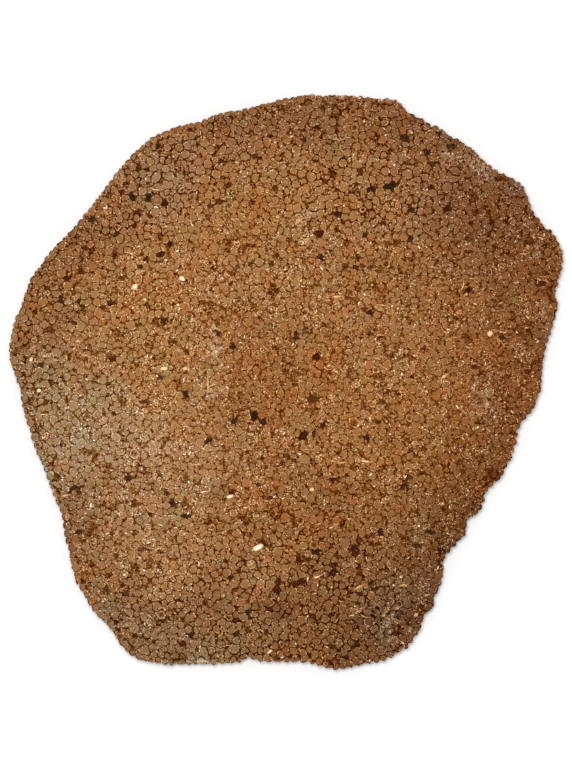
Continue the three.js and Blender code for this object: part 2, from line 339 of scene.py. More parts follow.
# Smaller holes where crumbs have dropped out: x, y, length, width and turn in degrees.
pits = [
    (-74, 106.75, 3.2, 1.8, 60), (-69.5, 106, 3.6, 1.2, -20), (-80, 99, 5, 1.4, 25),
    (-82, 95, 3, 1.8, 60), (-73, 85.5, 4.5, 1.2, 10), (-68, 83, 3.5, 1.6, -30), (-76, 78, 2.6, 1.8, 0),
    (-85, 74, 3, 1.8, 70), (-63, 74, 2.8, 1.6, 30), (-70, 61.5, 3.2, 2, 20), (-73, 57.5, 2.8, 1.8, 0),
    (-108, 70, 3.2, 2.2, 60), (-100, 67, 3.4, 1.8, -40), (-97.5, 65, 3, 2, 20),
    (-85.5, 64.5, 3, 1.8, 0), (-102, 55.5, 3.4, 2, -50), (-110, 52, 3.4, 1.8, 80),
    (-119.5, 47, 3, 1.6, 30), (-89, 95.5, 3, 1.6, 0), (-84, 104, 3.4, 2, -20),
    (-107.5, 75.5, 4, 2, 50), (-118, 61, 3, 1.8, 50), (-64, 118, 3.4, 2.2, 70),
    (-48, 126.5, 3, 1.8, -30), (-28.5, 98.7, 3, 2.4, 0), (-5.5, 97, 3, 2.6, 60),
    (-33.5, 90, 3.4, 2.2, -20), (-38, 88, 3, 1.8, 0), (-39, 82.5, 3, 2, -60), (-33, 110.5, 4, 1.6, 80),
    (-15.5, 113, 3.6, 1.8, 70), (-17, 90, 3.2, 2.2, 0), (25, 84, 4, 2.2, -30), (28.5, 80, 3, 1.6, -60),
    (16, 74, 5, 3, -20), (25.5, 76, 2.6, 2, 0), (37, 105.5, 3.2, 2.4, 20), (35.5, 99, 3.4, 1.6, 0),
    (49, 79.5, 3, 2, -60), (39.5, 73.5, 2.8, 1.8, 40), (-5, 63, 4, 1.8, 20), (-7.5, 59.5, 3.2, 2.2, 0),
    (29.5, 58, 3, 2.4, 0), (36, 62.5, 3, 2, -50), (35, 57.5, 3, 1.6, 0), (42.5, 57.5, 3.6, 1.8, 20),
    (-24, 57.5, 2.6, 2, 0), (-29, 65.5, 2.6, 1.6, 30), (-17.5, 59, 2.6, 1.6, 0), (-6.5, 48.5, 3, 2, 0),
    (-8, 123, 3, 1.6, -20), (9, 121.5, 3.4, 1.6, 0), (59, 121.5, 5, 2.4, -20), (73, 109, 3.6, 2, -40),
    (82.5, 117.5, 6, 2, -10), (88.5, 116, 4, 1.6, -20), (72.5, 97.5, 3, 2.4, 0),
    (48.5, 79.5, 3, 2, 60), (92.5, 79.5, 2.6, 2, 0), (103, 79.5, 3.2, 2, 70), (103.5, 75.5, 3, 1.6, 0),
    (127, 49, 3.4, 2.4, 60), (91, 65, 4, 1.6, 0), (64, 64, 2.4, 1.6, 0), (-112.5, 40.5, 3, 2, 0),
    (-104, 40, 2.8, 1.8, 0), (-91.5, 37.5, 2.6, 1.8, 20), (-69.5, 38.5, 2.6, 1.8, 0),
    (-61, 29.5, 4.5, 1.6, -15), (-74, 28.5, 4.5, 1.2, 20), (-105.5, 29.5, 4, 1.2, 0),
    (-119, 26, 2.4, 2, 0), (-99, 18, 2.8, 1.8, 0), (-55.5, 20, 2.6, 1.6, 0), (-50, 16, 2.6, 1.6, -40),
    (-122.5, 8.5, 3, 2, -30), (-131, 4, 3, 1.6, 70), (-117, -0.5, 3, 2, 0), (-126, -3.5, 3, 1.8, 0),
    (-89, -1, 2.8, 1.8, 0), (-89, -6.5, 2.6, 1.6, 0), (-63, 2, 3, 2, 0), (-119.5, -10, 3, 2, 60),
    (-130, -10, 3, 1.8, 80), (-70.5, -10, 6, 2, 5), (-112, -31, 3.6, 1.2, 70),
    (-59, -28.5, 2.4, 1.4, 0), (-8, 44.5, 2.8, 1.8, 0), (9.5, 26.5, 3.6, 1.2, 20),
    (19.5, 28.5, 3, 1.4, -50), (30, 22.5, 6, 1, -4), (42, 24, 6, 1, 0), (2.5, 9, 3, 1.6, -30),
    (-1, 5.5, 2.8, 1.6, 0), (49, 18, 5, 0.9, -40), (13, -8.5, 5, 4, 20), (14, -26, 3.4, 1.6, 80),
    (35.5, -4, 2.6, 1.6, 0), (48.5, -10, 3, 2, 0), (39, -12.5, 2.6, 1.4, 0), (46, -20, 3, 1.8, 0),
    (-2, -41, 3.6, 1.8, 40), (-13.5, -51.5, 3, 1.8, 0), (108, 22.5, 3.4, 2.8, 80),
    (121, 26, 3, 1.8, 70), (52.5, 13, 3, 2, 0), (94.5, 7.5, 5, 2, -10), (97, 4, 3, 1.4, 20),
    (121, 5.5, 4, 1.6, 0), (62.5, -34, 2.6, 1.8, 0), (61.5, -47.5, 3, 2, 0), (68, -45.5, 3, 1.8, 20),
    (55.5, -6, 2.6, 1.6, 0), (102, -44.5, 3.6, 2, 30), (107, -45, 4, 2.4, 20), (101, -51, 4, 2, 40),
    (-91, -61, 4.5, 1.4, 85), (-90, -70, 3, 1.8, 70), (-87, -75.5, 3, 1.4, 0),
    (-75.5, -61, 5, 1.4, 85), (-67, -66.5, 3.6, 1.6, -20), (-59.5, -56, 3, 1.6, 0),
    (-27, -55, 3.6, 2.4, 30), (-20, -70.5, 3, 2.4, 0), (-109, -70.5, 3.4, 1.6, 0),
    (-103.5, -75, 4.4, 2.2, 20), (-101, -79.5, 3, 1.8, 0), (-110, -79, 3, 1.8, 70),
    (-72, -83.5, 5, 1.8, 0), (-97, -91.5, 3, 2, 0), (-82, -101.5, 2.6, 1.6, 80),
    (-90, -103.5, 3, 2.4, 60), (-81, -106, 3, 1.8, 0), (-85, -87, 3.4, 1.2, -30),
    (-40.5, -110.5, 2.8, 2.2, 0), (-27.5, -97.5, 3.4, 1.8, 0), (-30, -89.5, 3, 1.4, -40),
    (-18.5, -115, 3.4, 2.2, 50), (-25.5, -119.5, 3, 2, 30), (-24.5, -126, 3.2, 1.8, 0),
    (-51.5, -131, 3, 2.4, 0), (-47.5, -126.5, 3.4, 2.2, 30), (-61.5, -119.5, 2.6, 1.8, 0),
    (-8.5, -58, 3, 1.8, 20), (3, -66.5, 3, 1.8, -40), (4.5, -71, 2.6, 1.6, 80), (7.5, -75.5, 3, 2, 0),
    (34.5, -56.5, 2.6, 1.6, 0), (23.5, -91.5, 5, 2, 10), (26.5, -87.5, 3, 1.6, 0),
    (36, -78.5, 3.4, 1.6, 80), (40.5, -77.5, 2.6, 1.6, 0), (65.5, -82, 4, 1.8, 0),
    (-4.5, -104, 5, 3.4, 50), (-9, -113.5, 3, 1.6, 0), (2, -101.5, 3.6, 1.4, 60),
    (13, -117, 3.4, 2.2, -30), (23, -116.5, 4.6, 1.8, 30), (15.5, -120, 3, 1.8, 0),
    (37, -106, 3.2, 1.8, 40), (44.5, -103.5, 4, 1.6, 10), (27.5, -108.5, 3, 1.4, 20),
    (-10, -125, 3, 1.8, 80), (23, -132, 4, 2, -20), (35.5, -131.5, 3, 1.8, 0),
    (56.5, -115.5, 5, 2.4, 0), (30, -137.5, 3.6, 1.4, 20),
]

cadTree = BVHTree.FromPolygons([tuple(point) for point in meshPoints(cadSlice.data)],
                               [tuple(face.vertices) for face in cadSlice.data.polygons])
pitTree = treeOf(pits)
longestPit = 8   # mm


def pitDepth(x, y, widen=0.0):
    # 1 in the middle of a pit and 0 outside every one
    deepest = 0.0
    for _, i, _ in pitTree.find_range((x, y, 0), longestPit / 2 + widen):
        middleX, middleY, length, width, turn = pits[i]
        along, across = alongAndAcross(x - middleX, y - middleY, turn)
        far = (along / (length / 2 + widen)) ** 2 + (across / (width / 2 + widen)) ** 2
        deepest = max(deepest, 1 - far)
    return deepest


def pitDepths(points, widen):
    return np.array([pitDepth(x, y, widen) for x, y in points])


def faceHeight(x, y):
    # of the CAD slice, in mm; 0 outside it
    hit = cadTree.ray_cast(Vector((x * mm, y * mm, sliceHigh.z + mm)), Vector((0, 0, -1)))[0]
    return hit.z / mm if hit else 0.0


def inVoid(x, y):
    return pitDepth(x, y) > 0 or faceHeight(x, y) < thickness - voidDepth


def voidFloors():
    points = meshPoints(cadSlice.data) / mm
    low = (points[:, 2] < thickness - voidFloor[0]) & (points[:, 2] > thickness - voidFloor[1])
    return np.unique(np.round(points[low & insideBy(points, voidEdgeRoom)][:, :2], 2), axis=0)


voidPoints = voidFloors()
floorPoints = np.vstack([voidPoints, [(x, y) for x, y, *_ in pits]])


def voidNearness(points):
    # 1 at a void and near a pit, where the rock is darkened: partly dark fill, partly painted shade of the
    # hollow
    tree = treeOf(voidPoints)
    distance = np.array([tree.find((x, y, 0))[2] for x, y in points])
    nearPit = smoothStep(pitDepths(points, faceGround["pitWiden"]), *faceGround["pitFade"])
    return np.maximum(1 - smoothStep(distance, *faceGround["voidFade"]), faceGround["pitDarkness"] * nearPit)


def nearest(places, count):
    tree = treeOf(places)
    found = [[index for _, index, _ in tree.find_n((x, y, 0), count + 1)][1:] for x, y in places]
    return np.array(found)


def startingPlaces(rng):
    step, rowStep = packing["spacing"], packing["rowStep"]
    rows = int(2 * outlineReach.max() / (step * rowStep)) + 2
    places = [((column - rows / 2 + 0.5 * (row % 2)) * step, (row - rows / 2) * step * rowStep)
              for row in range(rows) for column in range(rows)]
    places = np.array(places) + rng.normal(0, packing["jitter"] * step, (len(places), 2))
    return places[insideBy(places, packing["edgeRoom"])]


def edgePlaces(rng):
    # tubes side by side along the broken edge
    corners = onCircle(evenReach, outlineAngles)
    corners = np.vstack([corners, corners[:1]])
    length = np.r_[0, np.cumsum(np.linalg.norm(np.diff(corners, axis=0), axis=1))]
    closeness, radii = packing["edgeCloseness"], []
    while 2 * closeness * sum(radii) < length[-1]:
        radii.append(rng.uniform(*packing["edgeRadius"]))
    radii = np.array(radii) * length[-1] / (2 * closeness * sum(radii))
    along = closeness * (2 * np.cumsum(radii) - radii)

    def pointAt(distance):
        return np.stack([np.interp(distance % length[-1], length, axis) for axis in corners.T], axis=1)

    forward = pointAt(along + 2) - pointAt(along - 2)
    inward = np.stack([-forward[:, 1], forward[:, 0]], axis=1) / np.linalg.norm(forward, axis=1)[:, None]
    depth = radii * (packing["edgeInset"] + rng.uniform(*packing["edgeInsetSpread"], len(radii)))
    return pointAt(along) + inward * depth[:, None], radii


def settle(places, radii, floors, fixed):
    # neighbours push each other apart until few overlap; the edge and the voids push back
    pinned = places[fixed]
    for step in range(packing["rounds"]):
        if step % packing["roundsBetweenLooks"] == 0:
            around = nearest(places, packing["neighbours"])
        away = places[:, None] - places[around]
        distance = np.maximum(np.linalg.norm(away, axis=2), 0.05)
        wanted = (radii[:, None] + radii[around]) * packing["closeness"]
        push = np.clip(wanted - distance, 0, None)
        places = places + packing["push"] * (away / distance[..., None] * push[..., None]).sum(1)
        fromFloor = places[:, None] - floors[None]
        floorGap = np.maximum(np.linalg.norm(fromFloor, axis=2), 0.05)
        floorPush = np.clip(radii[:, None] + packing["voidClearance"] - floorGap, 0, None)
        strongest = floorPush.argmax(1)
        rows = np.arange(len(places))
        away = fromFloor[rows, strongest] / floorGap[rows, strongest, None]
        places = places + packing["voidPush"] * away * floorPush[rows, strongest, None]
        allowed = reachAt(places, evenReach) - packing["insideEdge"] * radii
        places = places * np.minimum(1, allowed / fromMiddle(places))[:, None]
        places[fixed] = pinned
    return places


def fillers(rng, places, radii):
    # small tubes and broken bits in what room is left
    candidates = rng.uniform(-packing["fillerField"], packing["fillerField"], (packing["fillerTries"], 2))
    candidates = candidates[insideBy(candidates, packing["fillerEdgeRoom"])]
    tree = treeOf(places)
    roomy = []
    low, high = packing["fillerRadius"]
    for x, y in candidates:
        room = min(distance - radii[index] for _, index, distance in tree.find_n((x, y, 0), 5))
        if room > low and not inVoid(x, y):
            roomy.append((min(room, high), x, y))
    roomy.sort(reverse=True)
    kept = np.zeros((0, 3))
    for room, x, y in roomy:
        wanted = (kept[:, 0] + room) * packing["fillerCloseness"]
        if not (np.hypot(kept[:, 1] - x, kept[:, 2] - y) < wanted).any():
            kept = np.vstack([kept, (room, x, y)])
    kept = kept[rng.random(len(kept)) > packing["fillerThinning"] * clearness(kept[:, 1:])]
    return kept[:, 1:], kept[:, 0] * packing["fillerGrowth"]


def standingTubes():
    rng = np.random.default_rng(packing["seed"])
    places = startingPlaces(rng)
    places = places[rng.random(len(places)) > packing["thinning"] * clearness(places)]
    radii = packing["radius"] * np.exp(rng.normal(0, packing["radiusSpread"], len(places)))
    radii *= packing["cloggedSize"] + packing["clearGrowth"] * clearness(places)
    small = rng.random(len(places)) < packing["smallShare"]
    radii[small] = rng.uniform(*packing["smallRadius"], small.sum())
    radii = np.clip(radii, *packing["radiusLimits"])
    rimPlaces, rimRadii = edgePlaces(rng)
    places, radii = np.vstack([rimPlaces, places]), np.r_[rimRadii, radii]
    onEdge = np.arange(len(places)) < len(rimPlaces)
    places = settle(places, radii, floorPoints, onEdge)
    # a tube of the edge goes only where a chip takes nearly its whole length
    free = np.array([edge and faceHeight(x, y) > packing["leastEdgeTube"] or not inVoid(x, y)
                     for edge, (x, y) in zip(onEdge, places)])
    places, radii, onEdge = places[free], radii[free], onEdge[free]
    extraPlaces, extraRadii = fillers(rng, places, radii)
    onEdge = np.r_[onEdge, np.zeros(len(extraPlaces), bool)]
    return np.vstack([places, extraPlaces]), np.r_[radii, extraRadii], onEdge, rng


print("packing the tubes")
tubeMiddles, tubeRadii, isRim, rng = standingTubes()
tubeCount = len(tubeMiddles)
print("tubes", tubeCount, "of them on the rim", int(isRim.sum()))


sides = 14   # of the outline of a tube
shaping = {
    "stretch": 0.10,
    "longShare": 0.15,
    "longStretch": (1.25, 1.7),
    "waves": (2, 3, 5),     # round the outline
    "roundness": 0.045,     # how far an outline strays from its ellipse
    "swell": 1.04,
    "touching": 1.7,        # in both radii, within which two tubes shape each other
    "gapClear": 0.46,       # mm between two loose tubes where they stand clear
    "gapClogged": 0.07,
    "evenMatch": 0.14,      # in rank, within which two tubes meet on a straight line
    "facing": 0.05,         # cosine, above which a side faces a neighbour
    "least": 0.3,           # of its radius
    "nearVoid": 6,          # mm
    "voidGap": 0.1,
    "voidShrink": 0.88,     # a step
    "voidSteps": 8,
    "edgeGap": 0.12,
    "edgeShrink": 0.96,
    "edgeSteps": 30,
}
tubeRank = rng.random(tubeCount)   # of two neighbours, the higher keeps its round outline
tubeLoose = rng.random(tubeCount) ** 3


def tubeOutlines():
    phase = rng.uniform(0, 2 * math.pi, tubeCount)
    theta = phase[:, None] + np.arange(sides) * 2 * math.pi / sides
    stretch = 1 + abs(rng.normal(0, shaping["stretch"], tubeCount))
    long = rng.random(tubeCount) < shaping["longShare"]
    stretch[long] = rng.uniform(*shaping["longStretch"], long.sum())
    lean = rng.uniform(0, math.pi, tubeCount)
    cosine, sine = np.cos(theta - lean[:, None]), np.sin(theta - lean[:, None])
    root = np.sqrt(stretch)[:, None]
    rho = 1 / np.sqrt((cosine / root) ** 2 + (sine * root) ** 2)
    for waves in shaping["waves"]:
        height = rng.normal(0, shaping["roundness"], tubeCount)[:, None]
        rho *= 1 + height * np.sin(waves * theta + rng.uniform(0, 6.28, tubeCount)[:, None])
    rho *= tubeRadii[:, None] * shaping["swell"]
    around = nearest(tubeMiddles, packing["neighbours"])
    looseness = shaping["gapClear"] * clearness(tubeMiddles)
    evenMatch, touching, facingLimit = shaping["evenMatch"], shaping["touching"], shaping["facing"]
    for i in range(tubeCount):
        for j in around[i]:
            gap = shaping["gapClogged"] + looseness[i] * (tubeLoose[i] + tubeLoose[j])
            offset = tubeMiddles[j] - tubeMiddles[i]
            distance = math.hypot(*offset)
            if distance > tubeRadii[i] * touching + tubeRadii[j] * touching:
                continue
            turn = np.cos(theta[i] - math.atan2(offset[1], offset[0]))
            lead = tubeRank[i] - tubeRank[j]
            if lead > evenMatch:
                continue
            facing = turn > facingLimit
            if lead < -evenMatch:
                reach = tubeRadii[j] * shaping["swell"] + gap
                under = reach ** 2 - distance ** 2 * (1 - turn ** 2)
                facing &= under > 0
                limit = distance * turn - np.sqrt(np.maximum(under, 0))
            else:
                line = (distance ** 2 + tubeRadii[i] ** 2 - tubeRadii[j] ** 2) / (2 * distance)
                limit = (line - gap / 2) / np.maximum(turn, facingLimit)
            rho[i] = np.where(facing, np.minimum(rho[i], limit), rho[i])
    rho = np.maximum(rho, shaping["least"] * tubeRadii[:, None])
    # tubes beside a void stop short of it
    toVoid = np.linalg.norm(tubeMiddles[:, None] - floorPoints[None], axis=2).min(1)
    for i in np.nonzero((toVoid < shaping["nearVoid"]) & ~isRim)[0]:
        for k in range(sides):
            direction = np.array((math.cos(theta[i, k]), math.sin(theta[i, k])))
            for _ in range(shaping["voidSteps"]):
                x, y = tubeMiddles[i] + direction * (rho[i, k] + shaping["voidGap"])
                if not inVoid(x, y):
                    break
                rho[i, k] *= shaping["voidShrink"]
    return theta, rho


def insideOutline(theta, rho):
    # a tube is broken off where it would reach past the edge of the slice
    for _ in range(shaping["edgeSteps"]):
        tips = tubeMiddles[:, None] + onCircle(rho, theta)
        over = fromMiddle(tips) > reachAt(tips) - shaping["edgeGap"]
        rho = np.where(over, rho * shaping["edgeShrink"], rho)
    return rho


print("shaping their outlines")
tubeTheta, tubeRho = tubeOutlines()
tubeRho = insideOutline(tubeTheta, tubeRho)

# How the tubes' tops lie under the sawn face, in mm.
tops = {
    "lean": 0.022,
    "gap": 0.02,
    "spread": 0.04,
    "byRank": 0.12,
    "sunkenShare": 0.06,
    "sunkenBy": (0.1, 0.3),
    "overChip": 0.1,
}
tubeLean = rng.normal(0, tops["lean"], (tubeCount, 2))
tubeTop = thickness - tops["gap"] - abs(rng.normal(0, tops["spread"], tubeCount))
tubeTop -= tops["byRank"] * (1 - tubeRank)
sunken = rng.random(tubeCount) < tops["sunkenShare"]
tubeTop[sunken] -= rng.uniform(*tops["sunkenBy"], sunken.sum())
for i in np.nonzero(isRim)[0]:
    # in a chip of the edge, a tube is broken off as low as the chip
    tubeTop[i] = min(tubeTop[i], faceHeight(*tubeMiddles[i]) + tops["overChip"])
tubeTone = np.stack([rng.random(tubeCount), rng.random(tubeCount)], axis=1)


# A tube of each form is modelled once, with its radius as 1 and its heights in mm: rings from the rim
# inwards, each with its share of the radius and its height, then the height of the middle. Its tones
# go from its middle outwards: a paler wall, and darker rings where it was hollow.
tubeForms = [
    {"name": "plain", "share": 0.66, "rings": [(0.90, 0.0)], "middle": 0.0,
     "tones": [(0.0, 0.49), (0.60, 0.48), (0.80, 0.55), (0.90, 0.52)]},
    {"name": "ringed", "share": 0.19, "rings": [(0.91, 0.0), (0.60, -0.09)], "middle": 0.0,
     "tones": [(0.0, 0.58), (0.22, 0.52), (0.42, 0.45), (0.58, 0.33), (0.72, 0.50), (0.84, 0.60),
               (0.92, 0.55)]},
    {"name": "cup", "share": 0.05, "rings": [(0.90, 0.0), (0.46, -0.22)], "middle": -0.26,
     "tones": [(0.0, 0.18), (0.30, 0.24), (0.52, 0.42), (0.78, 0.60), (0.91, 0.56)]},
    {"name": "pithed", "share": 0.10, "rings": [(0.91, -0.01), (0.30, -0.09)], "middle": 0.03,
     "tones": [(0.0, 0.72), (0.14, 0.64), (0.26, 0.38), (0.45, 0.49), (0.8, 0.54), (0.91, 0.53)]},
]
tubeRound = {
    "rimDrop": 0.11,        # from the wall of a tube down to its skin
    "plugDepth": 2.4,
    "plugSize": (0.5, 1),   # a small tube's form is that much shallower
    "rimLevels": 10,
    "plainUnder": 1.2,      # mm of radius
    "backHeight": 1.5,      # how far up a tube's end on the back reaches into the rock
    "backSpread": 0.06,     # no two neighbours end quite alike
    "rootShare": 1.1,       # so that the root counts as outside in the finish
}
forms = rng.choice(len(tubeForms), tubeCount, p=[form["share"] for form in tubeForms])
forms[tubeRadii < tubeRound["plainUnder"]] = 0


def selectFaces(piece, wanted):
    bpy.ops.object.mode_set(mode="OBJECT")
    for face in piece.data.polygons:
        face.select = bool(wanted(face))
    bpy.ops.object.mode_set(mode="EDIT")


def modelTube(form, name, levels):
    nothingSelected()
    bpy.ops.mesh.primitive_circle_add(vertices=sides, radius=1, fill_type="NGON")
    piece = bpy.context.object
    piece.name = name
    bpy.ops.object.mode_set(mode="EDIT")
    bpy.ops.mesh.select_mode(type="FACE")
    bpy.ops.mesh.select_all(action="SELECT")
    bpy.ops.transform.translate(value=(0, 0, -tubeRound["rimDrop"]))
    reached, height = 1.0, -tubeRound["rimDrop"]
    for share, level in form["rings"]:
        bpy.ops.mesh.inset(thickness=(reached - share) * math.cos(math.pi / sides))
        bpy.ops.transform.translate(value=(0, 0, level - height))
        reached, height = share, level
    bpy.ops.mesh.poke()
    bpy.ops.object.mode_set(mode="OBJECT")
    for vertex in piece.data.vertices:
        if math.hypot(vertex.co.x, vertex.co.y) < 0.01:
            vertex.co.z = form["middle"]
    # the side: the outer ring of edges is drawn down, level by level, and closed underneath
    bpy.ops.object.mode_set(mode="EDIT")
    bpy.ops.mesh.select_mode(type="EDGE")
    bpy.ops.mesh.select_all(action="DESELECT")
    bpy.ops.mesh.select_non_manifold(extend=False, use_boundary=True)
    for _ in range(levels):
        bpy.ops.mesh.extrude_edges_move(TRANSFORM_OT_translate={"value": (0, 0, -1)})
    if levels == 1:
        bpy.ops.mesh.merge(type="CENTER")   # a root that runs to a point in the rock
    else:
        bpy.ops.mesh.edge_face_add()
    bpy.ops.mesh.select_all(action="SELECT")
    bpy.ops.mesh.normals_make_consistent(inside=False)
    bpy.ops.object.mode_set(mode="OBJECT")
    return piece


def masterOf(form, levels):
    # the master's points as shares: angle index, share of the radius, level below the rim and height
    piece = modelTube(form, "master_" + form["name"], levels)
    points = meshPoints(piece.data)
    share = fromMiddle(points)
    angle = np.arctan2(points[:, 1], points[:, 0]) - math.atan2(points[0, 1], points[0, 0])
    index = np.round(angle / (2 * math.pi / sides)).astype(int) % sides
    level = np.round(np.clip(-points[:, 2] - tubeRound["rimDrop"], 0, None)).astype(int)
    faces = [tuple(face.vertices) for face in piece.data.polygons]
    bpy.data.objects.remove(piece)
    return {"share": share, "index": index, "level": level, "height": points[:, 2], "faces": faces}


def joinedMesh(name, points, faceSets):
    # faceSets: arrays of faces with the same number of corners
    mesh = bpy.data.meshes.new(name)
    mesh.vertices.add(len(points))
    mesh.vertices.foreach_set("co", (points * mm).ravel())
    corners = np.concatenate([faces.ravel() for faces in faceSets]).astype(np.int32)
    sizes = np.concatenate([np.full(len(faces), faces.shape[1]) for faces in faceSets]).astype(np.int32)
    mesh.loops.add(len(corners))
    mesh.loops.foreach_set("vertex_index", corners)
    mesh.polygons.add(len(sizes))
    mesh.polygons.foreach_set("loop_start", np.r_[0, np.cumsum(sizes)[:-1]].astype(np.int32))
    mesh.update(calc_edges=True)
    mesh.validate()
    piece = bpy.data.objects.new(name, mesh)
    bpy.context.scene.collection.objects.link(piece)
    return piece


def addVectors(piece, name, values):
    attribute = piece.data.attributes.new(name, "FLOAT_VECTOR", "POINT")
    attribute.data.foreach_set("vector", values.astype(np.float32).ravel())


def repeatFaces(master, copies):
    # the master's faces for each copy, gathered by their number of corners
    count = len(master["share"])
    gathered = {}
    for face in master["faces"]:
        gathered.setdefault(len(face), []).append(face)
    shift = (np.arange(copies) * count)[:, None, None]
    return {size: (np.array(faces)[None] + shift).reshape(-1, size) for size, faces in gathered.items()}


def tubeMesh(name, members, place, masters):
    # copies of the masters, joined: place(members of one form, master) gives their points
    points, local, tone, owner, faces, start = [], [], [], [], {}, 0
    for form, master in enumerate(masters):
        chosen = members[forms[members] == form]
        if not len(chosen):
            continue
        made, share = place(chosen, master)
        angle = tubeTheta[chosen][:, master["index"]]
        # across the tube, with its radius as 1, and how many mm from the broken edge, for the painted shade
        # along it
        toEdge = reachAt(made) - fromMiddle(made) + 2 * (thickness - made[..., 2])
        here = np.stack([share * np.cos(angle), share * np.sin(angle), toEdge], axis=2)
        points.append(made.reshape(-1, 3))
        local.append(here.reshape(-1, 3))
        ones = np.ones(len(master["share"]))
        owner.append(np.repeat(chosen, len(ones)))
        tones = np.column_stack([tubeTone[chosen], np.full(len(chosen), form)])
        tone.append((tones[:, None] * ones[:, None]).reshape(-1, 3))
        for size, found in repeatFaces(master, len(chosen)).items():
            faces.setdefault(size, []).append(found + start)
        start += made.shape[0] * made.shape[1]
    points = np.concatenate(points)
    piece = joinedMesh(name, points, [np.concatenate(found) for found in faces.values()])
    addVectors(piece, "tubePlace", np.concatenate(local))
    addVectors(piece, "tubeTone", np.concatenate(tone))
    addGround(piece, points)
    return piece, np.concatenate(local), np.concatenate(owner)


def addGround(piece, points):
    # what the place does to the finish: its stain with painted shade, then how clear, how near a void (where
    # the rock is darkened, partly painted shade) and how chalky it is
    places = points[:, :2]
    addVectors(piece, "stainAndShade", stainAndShadeAt(places))
    chalk = chalkAt(places) * (1 - smoothStep(thickness - points[:, 2], *faceGround["chalkFade"]))
    nearVoid = voidNearness(places) * (points[:, 2] > thickness - faceGround["faceDepth"])
    addVectors(piece, "ground", np.stack([clearness(places), nearVoid, chalk], axis=1))
    gravel = piece.data.attributes.new("gravel", "FLOAT", "POINT")
    gravel.data.foreach_set("value", gravelAt(places).astype(np.float32))


def acrossTube(chosen, master, rho):
    # each point's share of its tube's radius, and where it lies from the middle of the tube
    share = np.tile(master["share"], (len(chosen), 1))
    return share, onCircle(share * rho, tubeTheta[chosen][:, master["index"]])


def standingAt(xy, height):
    return np.concatenate([xy, height[..., None]], axis=2)


def facePlugs(chosen, master):
    # the top of a tube, and enough of its length to be rooted in the rock
    down = master["level"] > 0
    share, offset = acrossTube(chosen, master, tubeRho[chosen][:, master["index"]])
    size = np.clip(tubeRadii[chosen] / 2, *tubeRound["plugSize"])[:, None]
    depth = np.where(down, -tubeRound["plugDepth"], master["height"] * size)
    height = tubeTop[chosen][:, None] + depth + (offset * tubeLean[chosen][:, None]).sum(2)
    xy = tubeMiddles[chosen][:, None] + offset
    return standingAt(xy, np.minimum(height, thickness)), np.where(down, tubeRound["rootShare"], share)


print("modelling the tubes' ends")
plugMasters = [masterOf(form, 1) for form in tubeForms]
inner = np.nonzero(~isRim)[0]


def inBands(name, count, place, masters):
    # a piece for each band across the slice
    bands = np.array_split(inner[np.argsort(tubeMiddles[inner, 1])], count)
    return [tubeMesh(f"{name}_{number + 1}", band, place, masters)[0] for number, band in enumerate(bands)]


tubeBands = inBands("tube_ends", 4, facePlugs, plugMasters)


# The tubes of the broken edge are seen along their whole length.
rimShaping = {
    "wrinkle": 0.035,             # how much wider or narrower a level is
    "dents": 0.02,
    "brokenShare": 0.5,           # of the tubes are broken back along part of their length
    "brokenTo": (0.15, 0.85),     # of the radius
    "brokenSpread": 0.15,
    "chippedShare": 0.3,          # have lost a corner of their sawn end
    "chippedTo": (0.55, 0.9),
    "chipSlope": 0.12,
    "facing": 0.1,                # cosine, above which a side faces outwards
    "leastReach": 0.3,            # mm
    "levelSpread": 0.3,
    "topStep": 0.4,               # mm at least, from the top down to each level
    "topForm": 0.9,               # how deep the form of the end is, next to the other tubes
    "bottom": (0.02, 0.05),
    "sway": 0.5,                  # mm that a tube leans out of line on its way down
    "swayTurns": (2.6, 2.2),
    "swayWidths": (13, 11),       # mm within which tubes sway alike
    "smoothUnder": 0.6,           # slope, below which a face is shaded smooth
}
rimMembers = np.nonzero(isRim)[0]
rimRow = np.full(tubeCount, -1)
rimRow[rimMembers] = np.arange(len(rimMembers))
rimLevels = tubeRound["rimLevels"]


def rimProfile():
    # for each rim tube: its outline at each level, broken back here and there on its outer side
    rho = np.repeat(tubeRho[rimMembers][:, None], rimLevels + 1, axis=1)
    theta = tubeTheta[rimMembers]
    outward = np.arctan2(tubeMiddles[rimMembers, 1], tubeMiddles[rimMembers, 0])
    facing = np.cos(theta - outward[:, None])
    reachOut = (rho[:, 0] * facing).max(1)
    facingLimit, spreadBy = rimShaping["facing"], rimShaping["brokenSpread"]

    def cutAt(row, depth):
        # how far each side may reach, for the tube to end at this depth outwards
        return np.where(facing[row] > facingLimit, depth / np.maximum(facing[row], facingLimit), np.inf)

    rho *= 1 + rng.normal(0, rimShaping["wrinkle"], rho.shape[:2])[..., None]
    rho *= 1 + rng.normal(0, rimShaping["dents"], rho.shape)
    broken = rng.random(len(rimMembers)) < rimShaping["brokenShare"]
    for row in np.nonzero(broken)[0]:
        first = rng.integers(1, rimLevels)
        last = first + rng.integers(2, rimLevels)
        depth = rng.uniform(*rimShaping["brokenTo"]) * tubeRadii[rimMembers[row]]
        for level in range(first, min(last, rimLevels + 1)):
            limit = cutAt(row, depth + rng.uniform(-spreadBy, spreadBy))
            rho[row, level] = np.minimum(rho[row, level], limit)
    for row in np.nonzero(rng.random(len(rimMembers)) < rimShaping["chippedShare"])[0]:
        # the sawn end itself has lost a corner
        limit = cutAt(row, reachOut[row] * rng.uniform(*rimShaping["chippedTo"]))
        for level in range(rng.integers(1, 4)):
            rho[row, level] = np.minimum(rho[row, level], limit * (1 + rimShaping["chipSlope"] * level))
    return np.maximum(rho, rimShaping["leastReach"])


rimRho = rimProfile()
levelSpread = rng.uniform(-rimShaping["levelSpread"], rimShaping["levelSpread"], rimLevels - 1)
rimHeights = np.linspace(thickness, 0.0, rimLevels + 1) + np.r_[0, levelSpread, 0]


